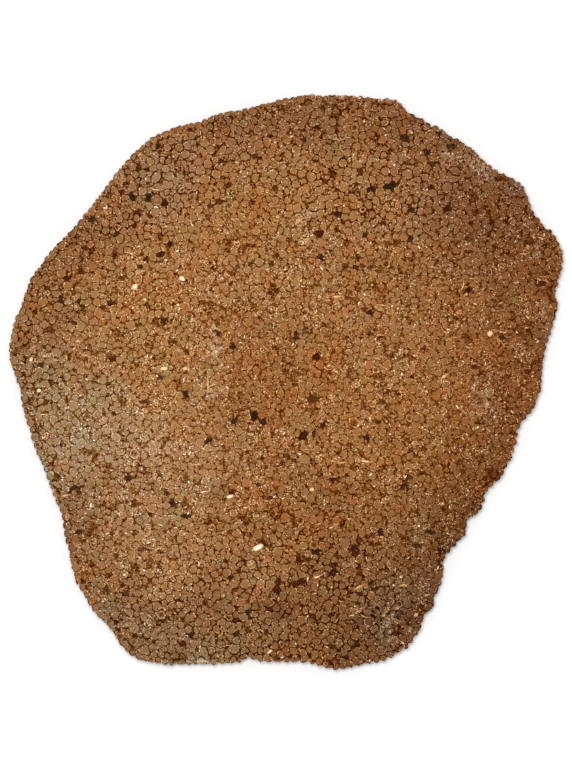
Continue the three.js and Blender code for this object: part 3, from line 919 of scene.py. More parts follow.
def rimTubes(chosen, master):
    rows = rimRow[chosen]
    level = master["level"]
    share, offset = acrossTube(chosen, master, rimRho[rows][:, level, master["index"]])
    lean = (offset * tubeLean[chosen][:, None]).sum(2)
    top = tubeTop[chosen][:, None]
    lower = np.minimum(rimHeights[level][None], top - rimShaping["topStep"] * level)
    height = np.where(level == 0, top + master["height"] * rimShaping["topForm"] + lean, lower)
    low, spreadUp = rimShaping["bottom"]
    height = np.where(level == rimLevels, low + spreadUp * tubeTone[chosen, 1:], height)
    depth = (thickness - height) / thickness
    # a tube sways along x by where it stands along y, and the other way about
    sway = [rimShaping["sway"] * np.sin(depth * turns + tubeMiddles[chosen, other][:, None] / width) * depth
            for turns, width, other in zip(rimShaping["swayTurns"], rimShaping["swayWidths"], (1, 0))]
    xy = tubeMiddles[chosen][:, None] + offset + np.stack(sway, axis=2)
    over = fromMiddle(xy) / reachAt(xy)
    return standingAt(xy / np.maximum(over, 1)[..., None], np.clip(height, 0, thickness)), share


print("modelling the broken edge")
rimMasters = [masterOf(form, rimLevels) for form in tubeForms]
rimPiece, rimLocal, rimOwner = tubeMesh("edge_tubes", rimMembers, rimTubes, rimMasters)
for face in rimPiece.data.polygons:
    face.use_smooth = abs(face.normal.z) < rimShaping["smoothUnder"]


def backPlugs(chosen, master):
    # the tubes' sawn ends on the back
    share, offset = acrossTube(chosen, master, tubeRho[chosen][:, master["index"]])
    low = tubeRound["backSpread"] * tubeTone[chosen, :1]
    height = np.where(master["level"] > 0, tubeRound["backHeight"], low)
    return standingAt(tubeMiddles[chosen][:, None] + offset, height), share


backMaster = masterOf({"name": "back", "rings": [], "middle": -tubeRound["rimDrop"]}, 1)
backMaster["faces"] = [face[::-1] for face in backMaster["faces"]]   # this one points upwards
backPieces = inBands("back_tube_ends", 2, backPlugs, [backMaster] * len(tubeForms))


# The rock between the tubes is the CAD slice itself, shrunk a little and roughened.
rock = {
    "inset": 0.8,           # mm that the rock stands back from the broken edge
    "recess": 0.42,         # and from the sawn face
    "backRecess": 0.12,
    "edgeBand": 3,          # mm, that is drawn in
    "cloggedRise": 0.13,
    "cloggedFrom": (0.25, 0.8),
    "pitDepth": 1.1,
    "pitWiden": 0.3,
    "voxel": 0.85,
    "keepFaces": 0.34,
    "roughness": {"lumps": (9, 2, 0.5), "grit": (1.8, 1, 0.55)},   # size, depth and height in mm
}


def noiseTexture(name, size, depth):
    texture = bpy.data.textures.new(name, "CLOUDS")
    texture.noise_scale = size * mm
    texture.noise_depth = depth
    return texture


def makeRock():
    mesh = cadSlice.data.copy()
    mesh.materials.clear()
    piece = bpy.data.objects.new("rock", mesh)
    bpy.context.scene.collection.objects.link(piece)
    activate(piece)
    bpy.ops.object.mode_set(mode="EDIT")
    bpy.ops.mesh.select_all(action="SELECT")
    bpy.ops.mesh.remove_doubles(threshold=0.01 * mm)
    bpy.ops.object.mode_set(mode="OBJECT")
    points = meshPoints(mesh) / mm
    atEdge = ~insideBy(points, rock["edgeBand"])
    points[atEdge, :2] *= (1 - rock["inset"] / fromMiddle(points[atEdge]))[:, None]
    height = thickness - rock["recess"] - rock["backRecess"]
    points[:, 2] = rock["backRecess"] + points[:, 2] * height / thickness
    mesh.vertices.foreach_set("co", (points * mm).ravel())
    mesh.update()
    remesh = piece.modifiers.new("grain", "REMESH")
    remesh.mode = "VOXEL"
    remesh.voxel_size = rock["voxel"] * mm
    for name, (size, depth, strength) in rock["roughness"].items():
        displace = piece.modifiers.new(name, "DISPLACE")
        displace.texture = noiseTexture(name, size, depth)
        displace.texture_coords = "GLOBAL"
        displace.strength = strength * mm
        displace.mid_level = 0.5
    thin = piece.modifiers.new("thin", "DECIMATE")
    thin.ratio = rock["keepFaces"]
    applyModifiers(piece)
    points = meshPoints(piece.data) / mm
    sunk = smoothStep(pitDepths(points[:, :2], rock["pitWiden"]), 0.0, 0.8) * (points[:, 2] > thickness - 2)
    clogged = 1 - smoothStep(clearness(points[:, :2]), *rock["cloggedFrom"])
    points[:, 2] += rock["cloggedRise"] * clogged * (points[:, 2] > thickness - 1.2)
    points[:, 2] -= rock["pitDepth"] * sunk
    points[:, 2] = np.clip(points[:, 2], 0.05, thickness)
    piece.data.vertices.foreach_set("co", (points * mm).ravel())
    piece.data.update()
    piece.data.shade_smooth()
    addGround(piece, points)
    return piece


print("making the rock between the tubes")
rockPiece = makeRock()


def addNode(tree, kind, inputs=None, **settings):
    node = tree.nodes.new(kind)
    for name, value in settings.items():
        setattr(node, name, value)
    for name, value in (inputs or {}).items():
        if isinstance(value, bpy.types.NodeSocket):
            tree.links.new(value, node.inputs[name])
        else:
            node.inputs[name].default_value = value
    return node


# From here on, a finish is worked out with functions that take sockets of its nodes and give the
# socket of the node they add.
def maths(operation, first, second=0.0):
    return addNode(first.id_data, "ShaderNodeMath", {0: first, 1: second}, operation=operation).outputs[0]


def times(value, weight):
    return maths("MULTIPLY", value, weight)


def summed(*terms):
    total = terms[0]
    for term in terms[1:]:
        total = maths("ADD", total, term)
    return total


def spread(value, start, end, low=0.0, high=1.0):
    # runs from low to high, as the value goes from start to end
    limits = {"Value": value, "From Min": start, "From Max": end, "To Min": low, "To Max": high}
    return addNode(value.id_data, "ShaderNodeMapRange", limits, clamp=True).outputs[0]


def swing(value, start, end, weight):
    return spread(value, start, end, -0.5 * weight, 0.5 * weight)


def ramp(factor, stops):
    # stops: each a place along it, then a grey, or the red, green and blue of a colour
    node = addNode(factor.id_data, "ShaderNodeValToRGB", {"Fac": factor})
    elements = node.color_ramp.elements
    while len(elements) < len(stops):
        elements.new(0.5)
    for element, (place, *colour) in zip(elements, stops):
        element.position = place
        element.color = linearColour(*colour) if len(colour) > 1 else grey(*colour)
    return node.outputs["Color"]


def grey(value):
    return (value, value, value, 1)


def mixed(kind, factor, first, second):
    values = {0: factor, 6: first, 7: second}
    return addNode(first.id_data, "ShaderNodeMix", values, data_type="RGBA", blend_type=kind).outputs[2]


def noise(place, size, detail=2.0, roughness=0.5):
    # size is the width of a lump in mm
    look = {"Vector": place, "Scale": 1 / (size * mm), "Detail": detail, "Roughness": roughness}
    return addNode(place.id_data, "ShaderNodeTexNoise", look).outputs["Fac"]


def varied(place, size, start, end, low=0.0, high=1.0, detail=2.0, roughness=0.5):
    return spread(noise(place, size, detail, roughness), start, end, low, high)


def cells(place, size):
    return addNode(place.id_data, "ShaderNodeTexVoronoi", {"Vector": place, "Scale": 1 / (size * mm)}).outputs


def specks(place, size, reach):
    # small round marks, one to a cell: 1 in the middle of a mark
    return spread(cells(place, size)["Distance"], 0.0, reach, 1.0, 0.0)


def attribute(tree, name, output="Vector"):
    node = addNode(tree, "ShaderNodeAttribute", attribute_name=name, attribute_type="GEOMETRY")
    return node.outputs[output]


def partsOf(value, kind="ShaderNodeSeparateXYZ"):
    return addNode(value.id_data, kind, {0: value}).outputs


def sideways(tree):
    # 1 on the broken edge, 0 on the sawn faces
    upright = partsOf(addNode(tree, "ShaderNodeNewGeometry").outputs["Normal"])[2]
    return spread(maths("ABSOLUTE", upright), 0.60, 0.25)


def freshMaterial(name):
    material = bpy.data.materials.new(name)
    material.use_nodes = True
    tree = material.node_tree
    tree.nodes.clear()
    shader = addNode(tree, "ShaderNodeBsdfPrincipled")
    output = addNode(tree, "ShaderNodeOutputMaterial")
    tree.links.new(shader.outputs[0], output.inputs["Surface"])
    return material, tree, shader


def finished(shader, colour, roughness, specular, height, distance):
    tree = shader.id_data
    bump = addNode(tree, "ShaderNodeBump", {"Height": height, "Strength": 1.0, "Distance": distance * mm})
    tree.links.new(colour, shader.inputs["Base Color"])
    tree.links.new(bump.outputs[0], shader.inputs["Normal"])
    shader.inputs["Specular IOR Level"].default_value = specular
    if isinstance(roughness, float):
        shader.inputs["Roughness"].default_value = roughness
    else:
        tree.links.new(roughness, shader.inputs["Roughness"])


# Every finish of the stone is one line of colours, from the darkest rock to crystal.
stoneColours = [
    (0.00, 54, 13, 0), (0.14, 86, 36, 0), (0.28, 116, 65, 11), (0.42, 144, 96, 55), (0.56, 165, 118, 78),
    (0.68, 181, 135, 97), (0.80, 201, 156, 120), (0.90, 234, 189, 156), (1.00, 255, 229, 200),
]
# Tints that drift over it: their size in mm, how detailed they are, and their colours.
stoneTints = {
    "rosy": (16, 3.0, [(0.0, 255, 240, 218), (0.5, 252, 250, 246), (1.0, 244, 255, 250)]),
    "golden": (2.4, 2.0, [(0.0, 255, 252, 230), (1.0, 250, 251, 255)]),
}
chalkColour = (222, 200, 170)


def stoneFinish(shade, place, ground):
    # the colour for a shade, stained as its place is, with the painted shade of the light falling off, and
    # whitish where there is chalk or dust
    chalky = ground[2]
    colour = ramp(shade, stoneColours)
    for size, detail, tints in stoneTints.values():
        tint = ramp(varied(place, size, 0.3, 0.7, detail=detail, roughness=0.6), tints)
        colour = mixed("MULTIPLY", 1.0, colour, tint)
    takesStainAndShade = spread(shade, 0.60, 1.0, 1.0, 0.5)   # crystal takes less of it
    # the stain of the place, with painted shade where the light falls off across the face
    colour = mixed("MULTIPLY", takesStainAndShade, colour, attribute(place.id_data, "stainAndShade"))
    chalk = summed(times(noise(place, 1.8, 2.0, 0.6), 0.5), times(noise(place, 0.6, 2.0, 0.6), 0.5),
                   times(chalky, 0.34))
    chalk = times(spread(chalk, 0.61, 0.76, 0.0, 0.85), spread(chalky, 0.03, 0.15))
    return mixed("MIX", chalk, colour, linearColour(*chalkColour))


coralTone = {
    "tubes": 0.05,          # how much one tube differs from the next
    "mottle": 0.27,
    "grain": 0.68,
    "bits": 0.34,
    "broad": 0.06,
    "specks": 0.44,
    "darkSpecks": 0.72,
    "paleArcs": 0.25,       # slips of pale shell round a tube
    "darkArcs": 0.27,
    "ribs": 0.045,          # along the outside of a tube
    "side": 0.40,           # shade of the outside of a tube
    "sideTexture": 0.7,
    "edge": 0.60,           # painted shade: how dark the face is along the broken edge
    "tubeTints": [(0.0, 255, 238, 220), (0.10, 255, 249, 240), (0.55, 251, 253, 252), (0.90, 250, 255, 250),
                  (1.0, 246, 253, 228)],
    "specular": 0.05,
    "bump": 0.18,
}


def coralMaterial():
    material, tree, shader = freshMaterial("coral")
    weights = coralTone
    place = addNode(tree, "ShaderNodeTexCoord").outputs["Object"]
    tone = partsOf(attribute(tree, "tubeTone"))
    local = partsOf(attribute(tree, "tubePlace"))
    ground = partsOf(attribute(tree, "ground"))
    across = maths("SQRT", summed(times(local[0], local[0]), times(local[1], local[1])))
    wobble = noise(place, 1.3)
    across = summed(across, spread(wobble, 0.2, 0.8, -0.12, 0.12))
    mottle = noise(place, 1.15, 2.0, 0.6)
    grain = noise(place, 0.55, 1.0, 0.6)
    broad = noise(place, 12, 3.0, 0.6)
    bit = partsOf(cells(place, 1.0)["Color"], "ShaderNodeSeparateColor")[0]
    pattern = ramp(across, tubeForms[0]["tones"])
    for number, form in enumerate(tubeForms[1:]):
        chosen = maths("GREATER_THAN", tone[2], number + 0.5)
        pattern = mixed("MIX", chosen, pattern, ramp(across, form["tones"]))
    # the skin: a dark line, lost here and there, and more often where the tubes are clogged
    skin = spread(summed(noise(place, 1.5), times(ground[0], -0.04)), 0.36, 0.55, 0.23, 0.60)
    pattern = mixed("MIX", spread(across, 0.86, 0.98), pattern, skin)
    # the outside of a tube in the broken edge: growth lines across it, worn pale or with rock stuck to it
    side = sideways(tree)
    lines = addNode(tree, "ShaderNodeMapping", {"Vector": place, "Scale": (1, 1, 4)}).outputs[0]
    angle = maths("ARCTAN2", local[1], local[0])
    ribs = times(maths("SINE", summed(times(angle, 18.0), times(mottle, 5.0))), side)
    outside = summed(varied(lines, 2.6, 0.3, 0.7, -0.13, 0.13, 3.0, 0.6), weights["side"],
                     varied(place, 4.5, 0.35, 0.65, -0.14, 0.13), times(ribs, weights["ribs"]))
    pattern = mixed("MIX", side, pattern, outside)
    # slips of pale shell, and darker arcs, that follow the wall of a tube for part of its way round
    wall = times(spread(across, 0.72, 0.82), spread(across, 1.04, 0.94))
    wall = times(wall, spread(side, 0.0, 0.5, 1.0, 0.0))
    paleArc = times(wall, varied(place, 1.5, 0.57, 0.63, detail=1.0))
    darkArc = times(wall, varied(place, 1.8, 0.43, 0.37, detail=1.0))
    # septa: faint spokes that the growth of the tube left
    spokes = maths("SINE", summed(times(angle, 13.0), times(mottle, 9.0)))
    spokes = times(spokes, spread(across, 0.2, 0.7, 0.0, 0.03))
    # a tube's own face is smooth, with its wall rougher, and rougher all over where it is under gravel
    gravel = summed(attribute(tree, "gravel", "Fac"), spread(mottle, 0.3, 0.7, -0.3, 0.3))
    gravel = spread(gravel, 0.25, 0.75)
    fine = times(specks(place, 1.25, 0.34), varied(place, 2.4, 0.46, 0.60))
    fine = times(fine, spread(gravel, 0.0, 1.0, 0.35, 1.5))
    dark = times(specks(place, 1.2, 0.38), varied(place, 3.1, 0.44, 0.60))
    dark = times(dark, spread(gravel, 0.0, 1.0, 0.6, 1.2))
    rough = mixed("MIX", gravel, spread(across, 0.60, 0.86, 0.20, 1.0),
                  spread(ground[0], 0.1, 0.9, 1.25, 1.0))
    rough = times(rough, spread(ground[2], 0.04, 0.3, 1.0, 0.75))   # chalk evens it out
    rough = mixed("MIX", side, rough, grey(weights["sideTexture"]))
    texture = summed(swing(mottle, 0.28, 0.72, weights["mottle"]), swing(grain, 0.28, 0.72, weights["grain"]),
                     swing(bit, 0.0, 1.0, weights["bits"]), times(fine, weights["specks"]),
                     times(dark, -weights["darkSpecks"]))
    # painted shade: the face is darkened along the broken edge, for the shadowed side of the slice seen there
    paintedEdgeShade = spread(summed(local[2], spread(wobble, 0.2, 0.8, -0.5, 0.5)), 0.15, 1.1, 1.0, 0.0)
    shade = summed(pattern, spokes, times(texture, rough), swing(tone[0], 0.0, 1.0, weights["tubes"]),
                   swing(broad, 0.3, 0.7, weights["broad"]), times(paleArc, weights["paleArcs"]),
                   times(darkArc, -weights["darkArcs"]), times(paintedEdgeShade, -weights["edge"]))
    colour = mixed("MULTIPLY", 1.0, stoneFinish(shade, place, ground), ramp(tone[1], weights["tubeTints"]))
    gloss = varied(place, 2.2, 0.3, 0.7, 0.45, 0.75, 3.0)
    height = summed(grain, times(mottle, 1.2), times(ribs, 0.5))
    finished(shader, colour, gloss, weights["specular"], height, weights["bump"])
    return material


rockTone = {
    "clogged": 0.26,        # shade of the rock where it fills the face, and between tubes that stand clear
    "clear": 0.115,
    "side": 0.31,
    "mottle": (-0.20, 0.22),
    "grain": (-0.22, 0.24),
    "specks": 0.5,
    # deep voids go nearly black, partly the dark fill they hold and partly painted shade of the hollow: some
    # purplish, some greenish, most a dark red-brown
    "voids": [(0.34, 76, 30, 4), (0.44, 62, 24, 20), (0.54, 60, 29, 27), (0.64, 50, 37, 10)],
    "voidDust": (112, 78, 48),
    "roughness": 0.82,
    "bump": 0.4,
}


def rockMaterial():
    material, tree, shader = freshMaterial("rock")
    weights = rockTone
    place = addNode(tree, "ShaderNodeTexCoord").outputs["Object"]
    ground = partsOf(attribute(tree, "ground"))
    mottle = noise(place, 1.0, 3.0, 0.6)
    grain = noise(place, 0.45, 2.0, 0.6)
    level = summed(spread(ground[0], 0.15, 0.8, weights["clogged"], weights["clear"]),
                   varied(place, 1.8, 0.35, 0.65, -0.11, 0.13))
    level = mixed("MIX", sideways(tree), level, grey(weights["side"]))
    pale = times(specks(place, 1.1, 0.26), varied(place, 3, 0.46, 0.60))
    shade = summed(level, spread(mottle, 0.3, 0.7, *weights["mottle"]),
                   spread(grain, 0.3, 0.7, *weights["grain"]), times(pale, weights["specks"]))
    colour = stoneFinish(shade, place, ground)
    # near voids and pits the colour goes to the void tints: partly the dark fill, partly painted shade
    deep = times(ground[1], spread(mottle, 0.35, 0.7, 1.0, 0.7))
    tint = ramp(noise(place, 8, 1.0), weights["voids"])
    dusty = varied(place, 1.3, 0.52, 0.66, 0.0, 0.38)
    tint = mixed("MIX", dusty, tint, linearColour(*weights["voidDust"]))
    colour = mixed("MIX", deep, colour, tint)
    finished(shader, colour, weights["roughness"], 0.0, summed(mottle, grain), weights["bump"])
    return material


crystalTone = {
    "colours": [(0.0, 96, 48, 12), (0.2, 158, 102, 52), (0.45, 204, 148, 92), (0.75, 244, 194, 136),
                (0.90, 255, 218, 166), (1.0, 255, 236, 204)],
    "unevenness": (-0.16, 0.14),
    "takesStainAndShade": 0.35,
    "roughness": (0.3, 0.5),
    "specular": 0.2,
    "bump": 0.08,
}


def crystalMaterial():
    material, tree, shader = freshMaterial("crystal")
    place = addNode(tree, "ShaderNodeTexCoord").outputs["Object"]
    tone = partsOf(attribute(tree, "tubeTone"))
    shade = summed(tone[0], varied(place, 0.8, 0.3, 0.7, *crystalTone["unevenness"], 3.0, 0.6))
    colour = ramp(shade, crystalTone["colours"])
    # the stain of its place, with its painted shade, taken in part
    colour = mixed("MULTIPLY", crystalTone["takesStainAndShade"], colour, attribute(tree, "stainAndShade"))
    rough = varied(place, 1.2, 0.3, 0.7, *crystalTone["roughness"])
    finished(shader, colour, rough, crystalTone["specular"], noise(place, 0.4), crystalTone["bump"])
    return material


# The small bits in the face: crystal grains, crumbs of rock, and slivers and chips of shell.
grains = {
    "count": 9000,
    "atEdgeShare": 0.7,     # of them lie where two tubes meet
    "atEdge": (0.86, 1.12), # how far out from the middle of their tube
    "within": (0, 0.85),
    "everywhere": 0.3,      # against 1 more where there is gravel
    "edgeRoom": 0.8,
    "rimLimit": 0.55,
    "size": (0.26, 0.62),   # mm, half across
    "smallness": 2.2,       # the higher, the fewer large ones
    "tones": (0.15, 0.74),
    "brightShare": 0.06,
    "brightTones": (0.9, 1.0),
    "brightSize": (0.42, 0.80),
    "sunk": 0.1,
    "brightRise": 0.08,
    "lowest": 0.5,
    "proud": 0.12,
    "height": 0.3,
    "turnSpread": 0.5,
    "stray": (0.6, 1.25),   # of each corner
    "length": (0.9, 2.3),   # in half widths
    "width": (0.5, 0.9),
}
crumbs = {
    "tries": 26000,
    "field": 148,           # mm each way from the middle
    "edgeRoom": 2.2,
    "tubeShare": 0.93,      # of a tube's radius, that keeps crumbs away
    "leastRoom": 0.12,
    "growth": 0.25,
    "size": (0.32, 0.95),   # mm, half across
    "sizeSpread": (0.6, 1.1),
    "worn": 0.72,           # how wide the top is
    "height": 0.7,
    "recess": 0.16,
    "tones": (0.0, 0.42),
    "stray": (0.65, 1.2),
    "length": (0.9, 1.6),
    "width": (0.65, 1),
}
slivers = {
    "strewn": 420,
    "alongWall": (0.9, 1.1),
    "turnSpread": 14,       # degrees
    "bend": (0.4, 1.0),     # of what would follow the wall
    "length": (1.2, 3.4),
    "width": (0.28, 0.60),
    "tones": (0.1, 0.6),
    "stray": 0.15,
    "height": 0.3,
    "tilt": 0.1,
    "sunk": 0.25,
    "knownRise": 0.12,      # the ones that stand out lie higher
    "proud": 0.10,
    "knownProud": 0.08,
}
# The slivers that stand out: x, y, length, width, turn in degrees, bend and paleness.
knownSlivers = [
    (-39.2, 0.7, 11, 0.5, 92, 0.1, 0.75), (-37, -1.5, 5.0, 0.45, 35, 0, 0.7),
    (40.5, -39.75, 6.0, 1.1, -6, 0, 0.75), (28.5, -40.25, 5.0, 1.1, 8, 0, 0.45),
    (26, 42.75, 5.0, 1.3, 4, 0, 0.6), (88.5, 48.75, 4.8, 0.6, 84, 0.35, 0.8),
    (37, -102.25, 6.0, 1.3, 28, 0, 0.5), (16, -97.25, 4.4, 1.1, 22, 0.3, 0.9),
    (-110, -56.75, 4.2, 0.9, 8, 0, 0.65), (-120.5, -16.25, 5.0, 0.7, 2, 0, 0.65),
    (-121, -27.75, 2.5, 0.9, 40, 0, 0.7), (-40.5, -54.75, 5.2, 0.8, 12, 0.1, 0.75),
    (-20, -62.75, 2.8, 0.8, 4, 0, 0.85), (-64.5, 96.25, 6.2, 0.6, -6, 0.3, 0.8),
    (-73, 113.75, 2.6, 0.8, 40, 0, 0.7), (119.5, 64.25, 5.0, 0.6, 5, 0.3, 0.75),
    (52, -48.75, 3.0, 0.8, 60, 0, 0.7), (39.5, -117.25, 5.0, 0.6, -20, 0.35, 0.6),
    (-101.5, -67.75, 3.0, 0.7, 30, 0, 0.7), (-78, -8.75, 2.6, 0.8, 70, 0, 0.7),
    (59, -101.5, 4.4, 1.2, 12, 0, 0.55), (70.5, -106.5, 2.8, 1.3, 20, 0, 0.5),
    (36.5, -114.5, 4.6, 0.9, 20, 0.1, 0.5), (25.5, -119, 3.6, 0.6, 55, 0, 0.55),
]
chipLook = {"stray": 0.12, "sunk": 0.3, "height": 0.25, "proud": 0.10}
# Chips of white shell: x, y, length, width, turn and paleness.
chips = [
    (-75.5, 47.75, 3.2, 2.2, 40, 0.95), (-52, 51.75, 3.2, 2.0, -35, 0.95),
    (-61, 6.75, 3.6, 1.8, 5, 0.8), (-50.5, 6.75, 2.2, 1.5, 0, 0.75), (-28, -57.25, 3.6, 1.7, 20, 0.95),
    (-14, -82.75, 5.6, 2.5, 27, 1.0), (102, 24.25, 3.0, 2.6, 50, 0.9), (79, 2.75, 2.8, 1.4, 30, 0.65),
    (13, -53.75, 2.6, 1.9, 10, 0.75), (-123.5, -4.25, 2.2, 1.6, 0, 0.85),
    (-127.5, 11.25, 2.4, 1.5, 50, 0.85), (-8, -134.75, 3.0, 1.3, 40, 0.85),
    (-20.5, -137.2, 2.4, 1.5, 0, 0.9), (65, -116.5, 2.4, 1.6, 40, 0.6),
    (57.5, -97.5, 1.8, 1.3, 0, 0.75),
]


def modelGrain(top):
    # a crystal standing on its broader end, worn down to a face as wide as top
    nothingSelected()
    bpy.ops.mesh.primitive_cone_add(vertices=5, radius1=1, radius2=top, depth=1)
    return bpy.context.object


def modelSliver():
    # a flake as long as 2, drawn out to a blunt point at each end
    nothingSelected()
    bpy.ops.mesh.primitive_cube_add(size=2)
    piece = bpy.context.object
    bpy.ops.object.mode_set(mode="EDIT")
    for cut in (-0.5, 0, 0.5):
        bpy.ops.mesh.select_all(action="SELECT")
        bpy.ops.mesh.bisect(plane_co=(cut, 0, 0), plane_no=(1, 0, 0))
    for side in (-1, 1):
        selectFaces(piece, lambda face: face.normal.x * side > 0.9)
        bpy.ops.transform.resize(value=(1, 0.4, 0.5))
    bpy.ops.object.mode_set(mode="OBJECT")
    for vertex in piece.data.vertices:
        if vertex.co.z > 0:
            vertex.co.y *= 0.55
    return piece


def modelChip():
    # a worn flake, rounded all round and domed on top
    nothingSelected()
    bpy.ops.mesh.primitive_cylinder_add(vertices=9, radius=1, depth=2)
    piece = bpy.context.object
    selectFaces(piece, lambda face: face.normal.z > 0.5)
    bpy.ops.mesh.inset(thickness=0.30)
    bpy.ops.transform.translate(value=(0, 0, 0.5))
    bpy.ops.mesh.poke()
    bpy.ops.object.mode_set(mode="OBJECT")
    return piece


def takeMaster(piece):
    points = meshPoints(piece.data)
    faces = [tuple(face.vertices) for face in piece.data.polygons]
    bpy.data.objects.remove(piece)
    return {"points": points, "faces": faces, "share": np.ones(len(points))}


def strewnMesh(name, master, points, tones):
    # nothing sticks out past the edge
    over = fromMiddle(points) / (reachAt(points, evenReach) - 0.3)
    points[..., :2] /= np.maximum(over, 1)[..., None]
    faces = repeatFaces(master, len(points))
    corners = len(master["points"])
    flat = points.reshape(-1, 3)
    piece = joinedMesh(name, flat, list(faces.values()))
    tone = np.repeat(tones, corners)
    addVectors(piece, "tubeTone", np.stack([tone, tone, tone], axis=1))
    addGround(piece, flat)
    return piece


def turned(shape, turn):
    x = shape[..., 0] * np.cos(turn)[:, None] - shape[..., 1] * np.sin(turn)[:, None]
    y = shape[..., 0] * np.sin(turn)[:, None] + shape[..., 1] * np.cos(turn)[:, None]
    return x, y


def unevenCopies(master, size, look):
    # each copy has its own length and width, and its corners stray
    count = len(size)
    shape = master["points"][None] * rng.uniform(*look["stray"], (count, len(master["points"]), 1))
    stretch = [rng.uniform(*look["length"], count), rng.uniform(*look["width"], count), np.ones(count)]
    return shape * size[:, None, None] * np.stack(stretch, axis=1)[:, None]


def makeGrains():
    master = takeMaster(modelGrain(0))
    count = grains["count"]
    drawn = tubeRadii * (grains["everywhere"] + gravelAt(tubeMiddles))
    owner = rng.choice(tubeCount, count, p=drawn / drawn.sum())
    corner = rng.integers(0, sides, count)
    atEdge = rng.random(count) < grains["atEdgeShare"]
    out = np.where(atEdge, rng.uniform(*grains["atEdge"], count), rng.uniform(*grains["within"], count))
    angle = tubeTheta[owner, corner]
    middle = tubeMiddles[owner] + onCircle(out * tubeRho[owner, corner], angle)
    kept = insideBy(middle, grains["edgeRoom"]) & ~(isRim[owner] & (out > grains["rimLimit"]))
    middle = middle[kept]
    count = len(middle)
    low, high = grains["size"]
    size = low + (high - low) * rng.random(count) ** grains["smallness"]
    tones = rng.uniform(*grains["tones"], count)
    bright = rng.random(count) < grains["brightShare"]
    tones[bright] = rng.uniform(*grains["brightTones"], bright.sum())
    size[bright] = rng.uniform(*grains["brightSize"], bright.sum())
    # most of them lie along the wall of their tube
    turn = angle[kept] + math.pi / 2 + rng.normal(0, grains["turnSpread"], count)
    shape = unevenCopies(master, size, grains)
    x, y = turned(shape, turn)
    base = thickness - grains["sunk"] + grains["brightRise"] * bright[:, None]
    z = base + grains["height"] * shape[..., 2] / size[:, None]
    z = np.clip(z, thickness - grains["lowest"], thickness + grains["proud"])
    points = np.stack([x + middle[:, :1], y + middle[:, 1:], z], axis=2)
    return strewnMesh("crystal_grains", master, points, tones)


def makeCrumbs():
    # broken bits of rock that fill the corners between the tubes
    master = takeMaster(modelGrain(crumbs["worn"]))
    tree = treeOf(tubeMiddles)
    low, high = crumbs["size"]
    found = []
    tries = rng.uniform(-crumbs["field"], crumbs["field"], (crumbs["tries"], 2))
    for x, y in tries[insideBy(tries, crumbs["edgeRoom"])]:
        room = min(distance - crumbs["tubeShare"] * tubeRadii[index]
                   for _, index, distance in tree.find_n((x, y, 0), 4))
        if room > crumbs["leastRoom"] and not inVoid(x, y):
            found.append((x, y, min(high, max(low, room + crumbs["growth"]))))
    found = np.array(found)
    count = len(found)
    size = found[:, 2] * rng.uniform(*crumbs["sizeSpread"], count)
    shape = unevenCopies(master, size, crumbs)
    x, y = turned(shape, rng.uniform(0, 6.28, count))
    top = thickness - crumbs["recess"] * rng.random(count)[:, None]
    z = np.minimum(top + crumbs["height"] * (shape[..., 2] / size[:, None] - 0.5), thickness)
    points = np.stack([x + found[:, :1], y + found[:, 1:2], z], axis=2)
    print("crumbs", count)
    return strewnMesh("crumbs", master, points, rng.uniform(*crumbs["tones"], count))


def makeSlivers():
    master = takeMaster(modelSliver())
    rows = [list(row) for row in knownSlivers]
    # the rest lie along the walls of tubes, curved as they are
    while len(rows) < len(knownSlivers) + slivers["strewn"]:
        owner, corner = rng.choice(inner), rng.integers(sides)
        angle, out = tubeTheta[owner, corner], tubeRho[owner, corner]
        x, y = tubeMiddles[owner] + out * rng.uniform(*slivers["alongWall"]) * onCircle(1, angle)
        length = rng.uniform(*slivers["length"])
        if not inVoid(x, y):
            width = rng.uniform(*slivers["width"])
            turn = math.degrees(angle) + 90 + rng.normal(0, slivers["turnSpread"])
            bend = 0.375 * length / out * rng.uniform(*slivers["bend"])
            rows.append([x, y, length, width, turn, bend, rng.uniform(*slivers["tones"])])
    rows = np.array(rows)
    shape = np.tile(master["points"], (len(rows), 1, 1))
    shape *= 1 + rng.uniform(-slivers["stray"], slivers["stray"], shape.shape)
    along = shape[..., 0] * rows[:, 2:3] / 1.8
    across = shape[..., 1] * rows[:, 3:4] / 1.8 + rows[:, 5:6] * rows[:, 2:3] * (shape[..., 0] ** 2 - 0.4) / 3
    x, y = turned(np.stack([along, across], axis=2), np.radians(rows[:, 4]))
    known = np.arange(len(rows))[:, None] < len(knownSlivers)
    z = thickness - slivers["sunk"] + slivers["knownRise"] * known
    z = z + (shape[..., 2] + slivers["tilt"] * shape[..., 0]) * slivers["height"]
    z = np.minimum(z, thickness + slivers["proud"] + slivers["knownProud"] * known)
    points = np.stack([x + rows[:, 0:1], y + rows[:, 1:2], z], axis=2)
    return strewnMesh("shell_slivers", master, points, rows[:, 6])


def makeChips():
    master = takeMaster(modelChip())
    rows = np.array(chips)
    stray = rng.uniform(-chipLook["stray"], chipLook["stray"], (len(rows), len(master["points"]), 1))
    shape = master["points"][None] * (1 + stray)
    along, across = shape[..., 0] * rows[:, 2:3] / 2, shape[..., 1] * rows[:, 3:4] / 2
    x, y = turned(np.stack([along, across], axis=2), np.radians(rows[:, 4]))
    under = np.array([min(faceHeight(x, y), thickness) for x, y in rows[:, :2]])[:, None]
    z = under - chipLook["sunk"] + chipLook["height"] * shape[..., 2]
    z = np.minimum(z, thickness + chipLook["proud"])
    points = np.stack([x + rows[:, 0:1], y + rows[:, 1:2], z], axis=2)
    return strewnMesh("shell_chips", master, points, rows[:, 5])


print("strewing grains and slivers")
grainPiece = makeGrains()
crumbPiece = makeCrumbs()
sliverPiece = makeSlivers()
chipPiece = makeChips()


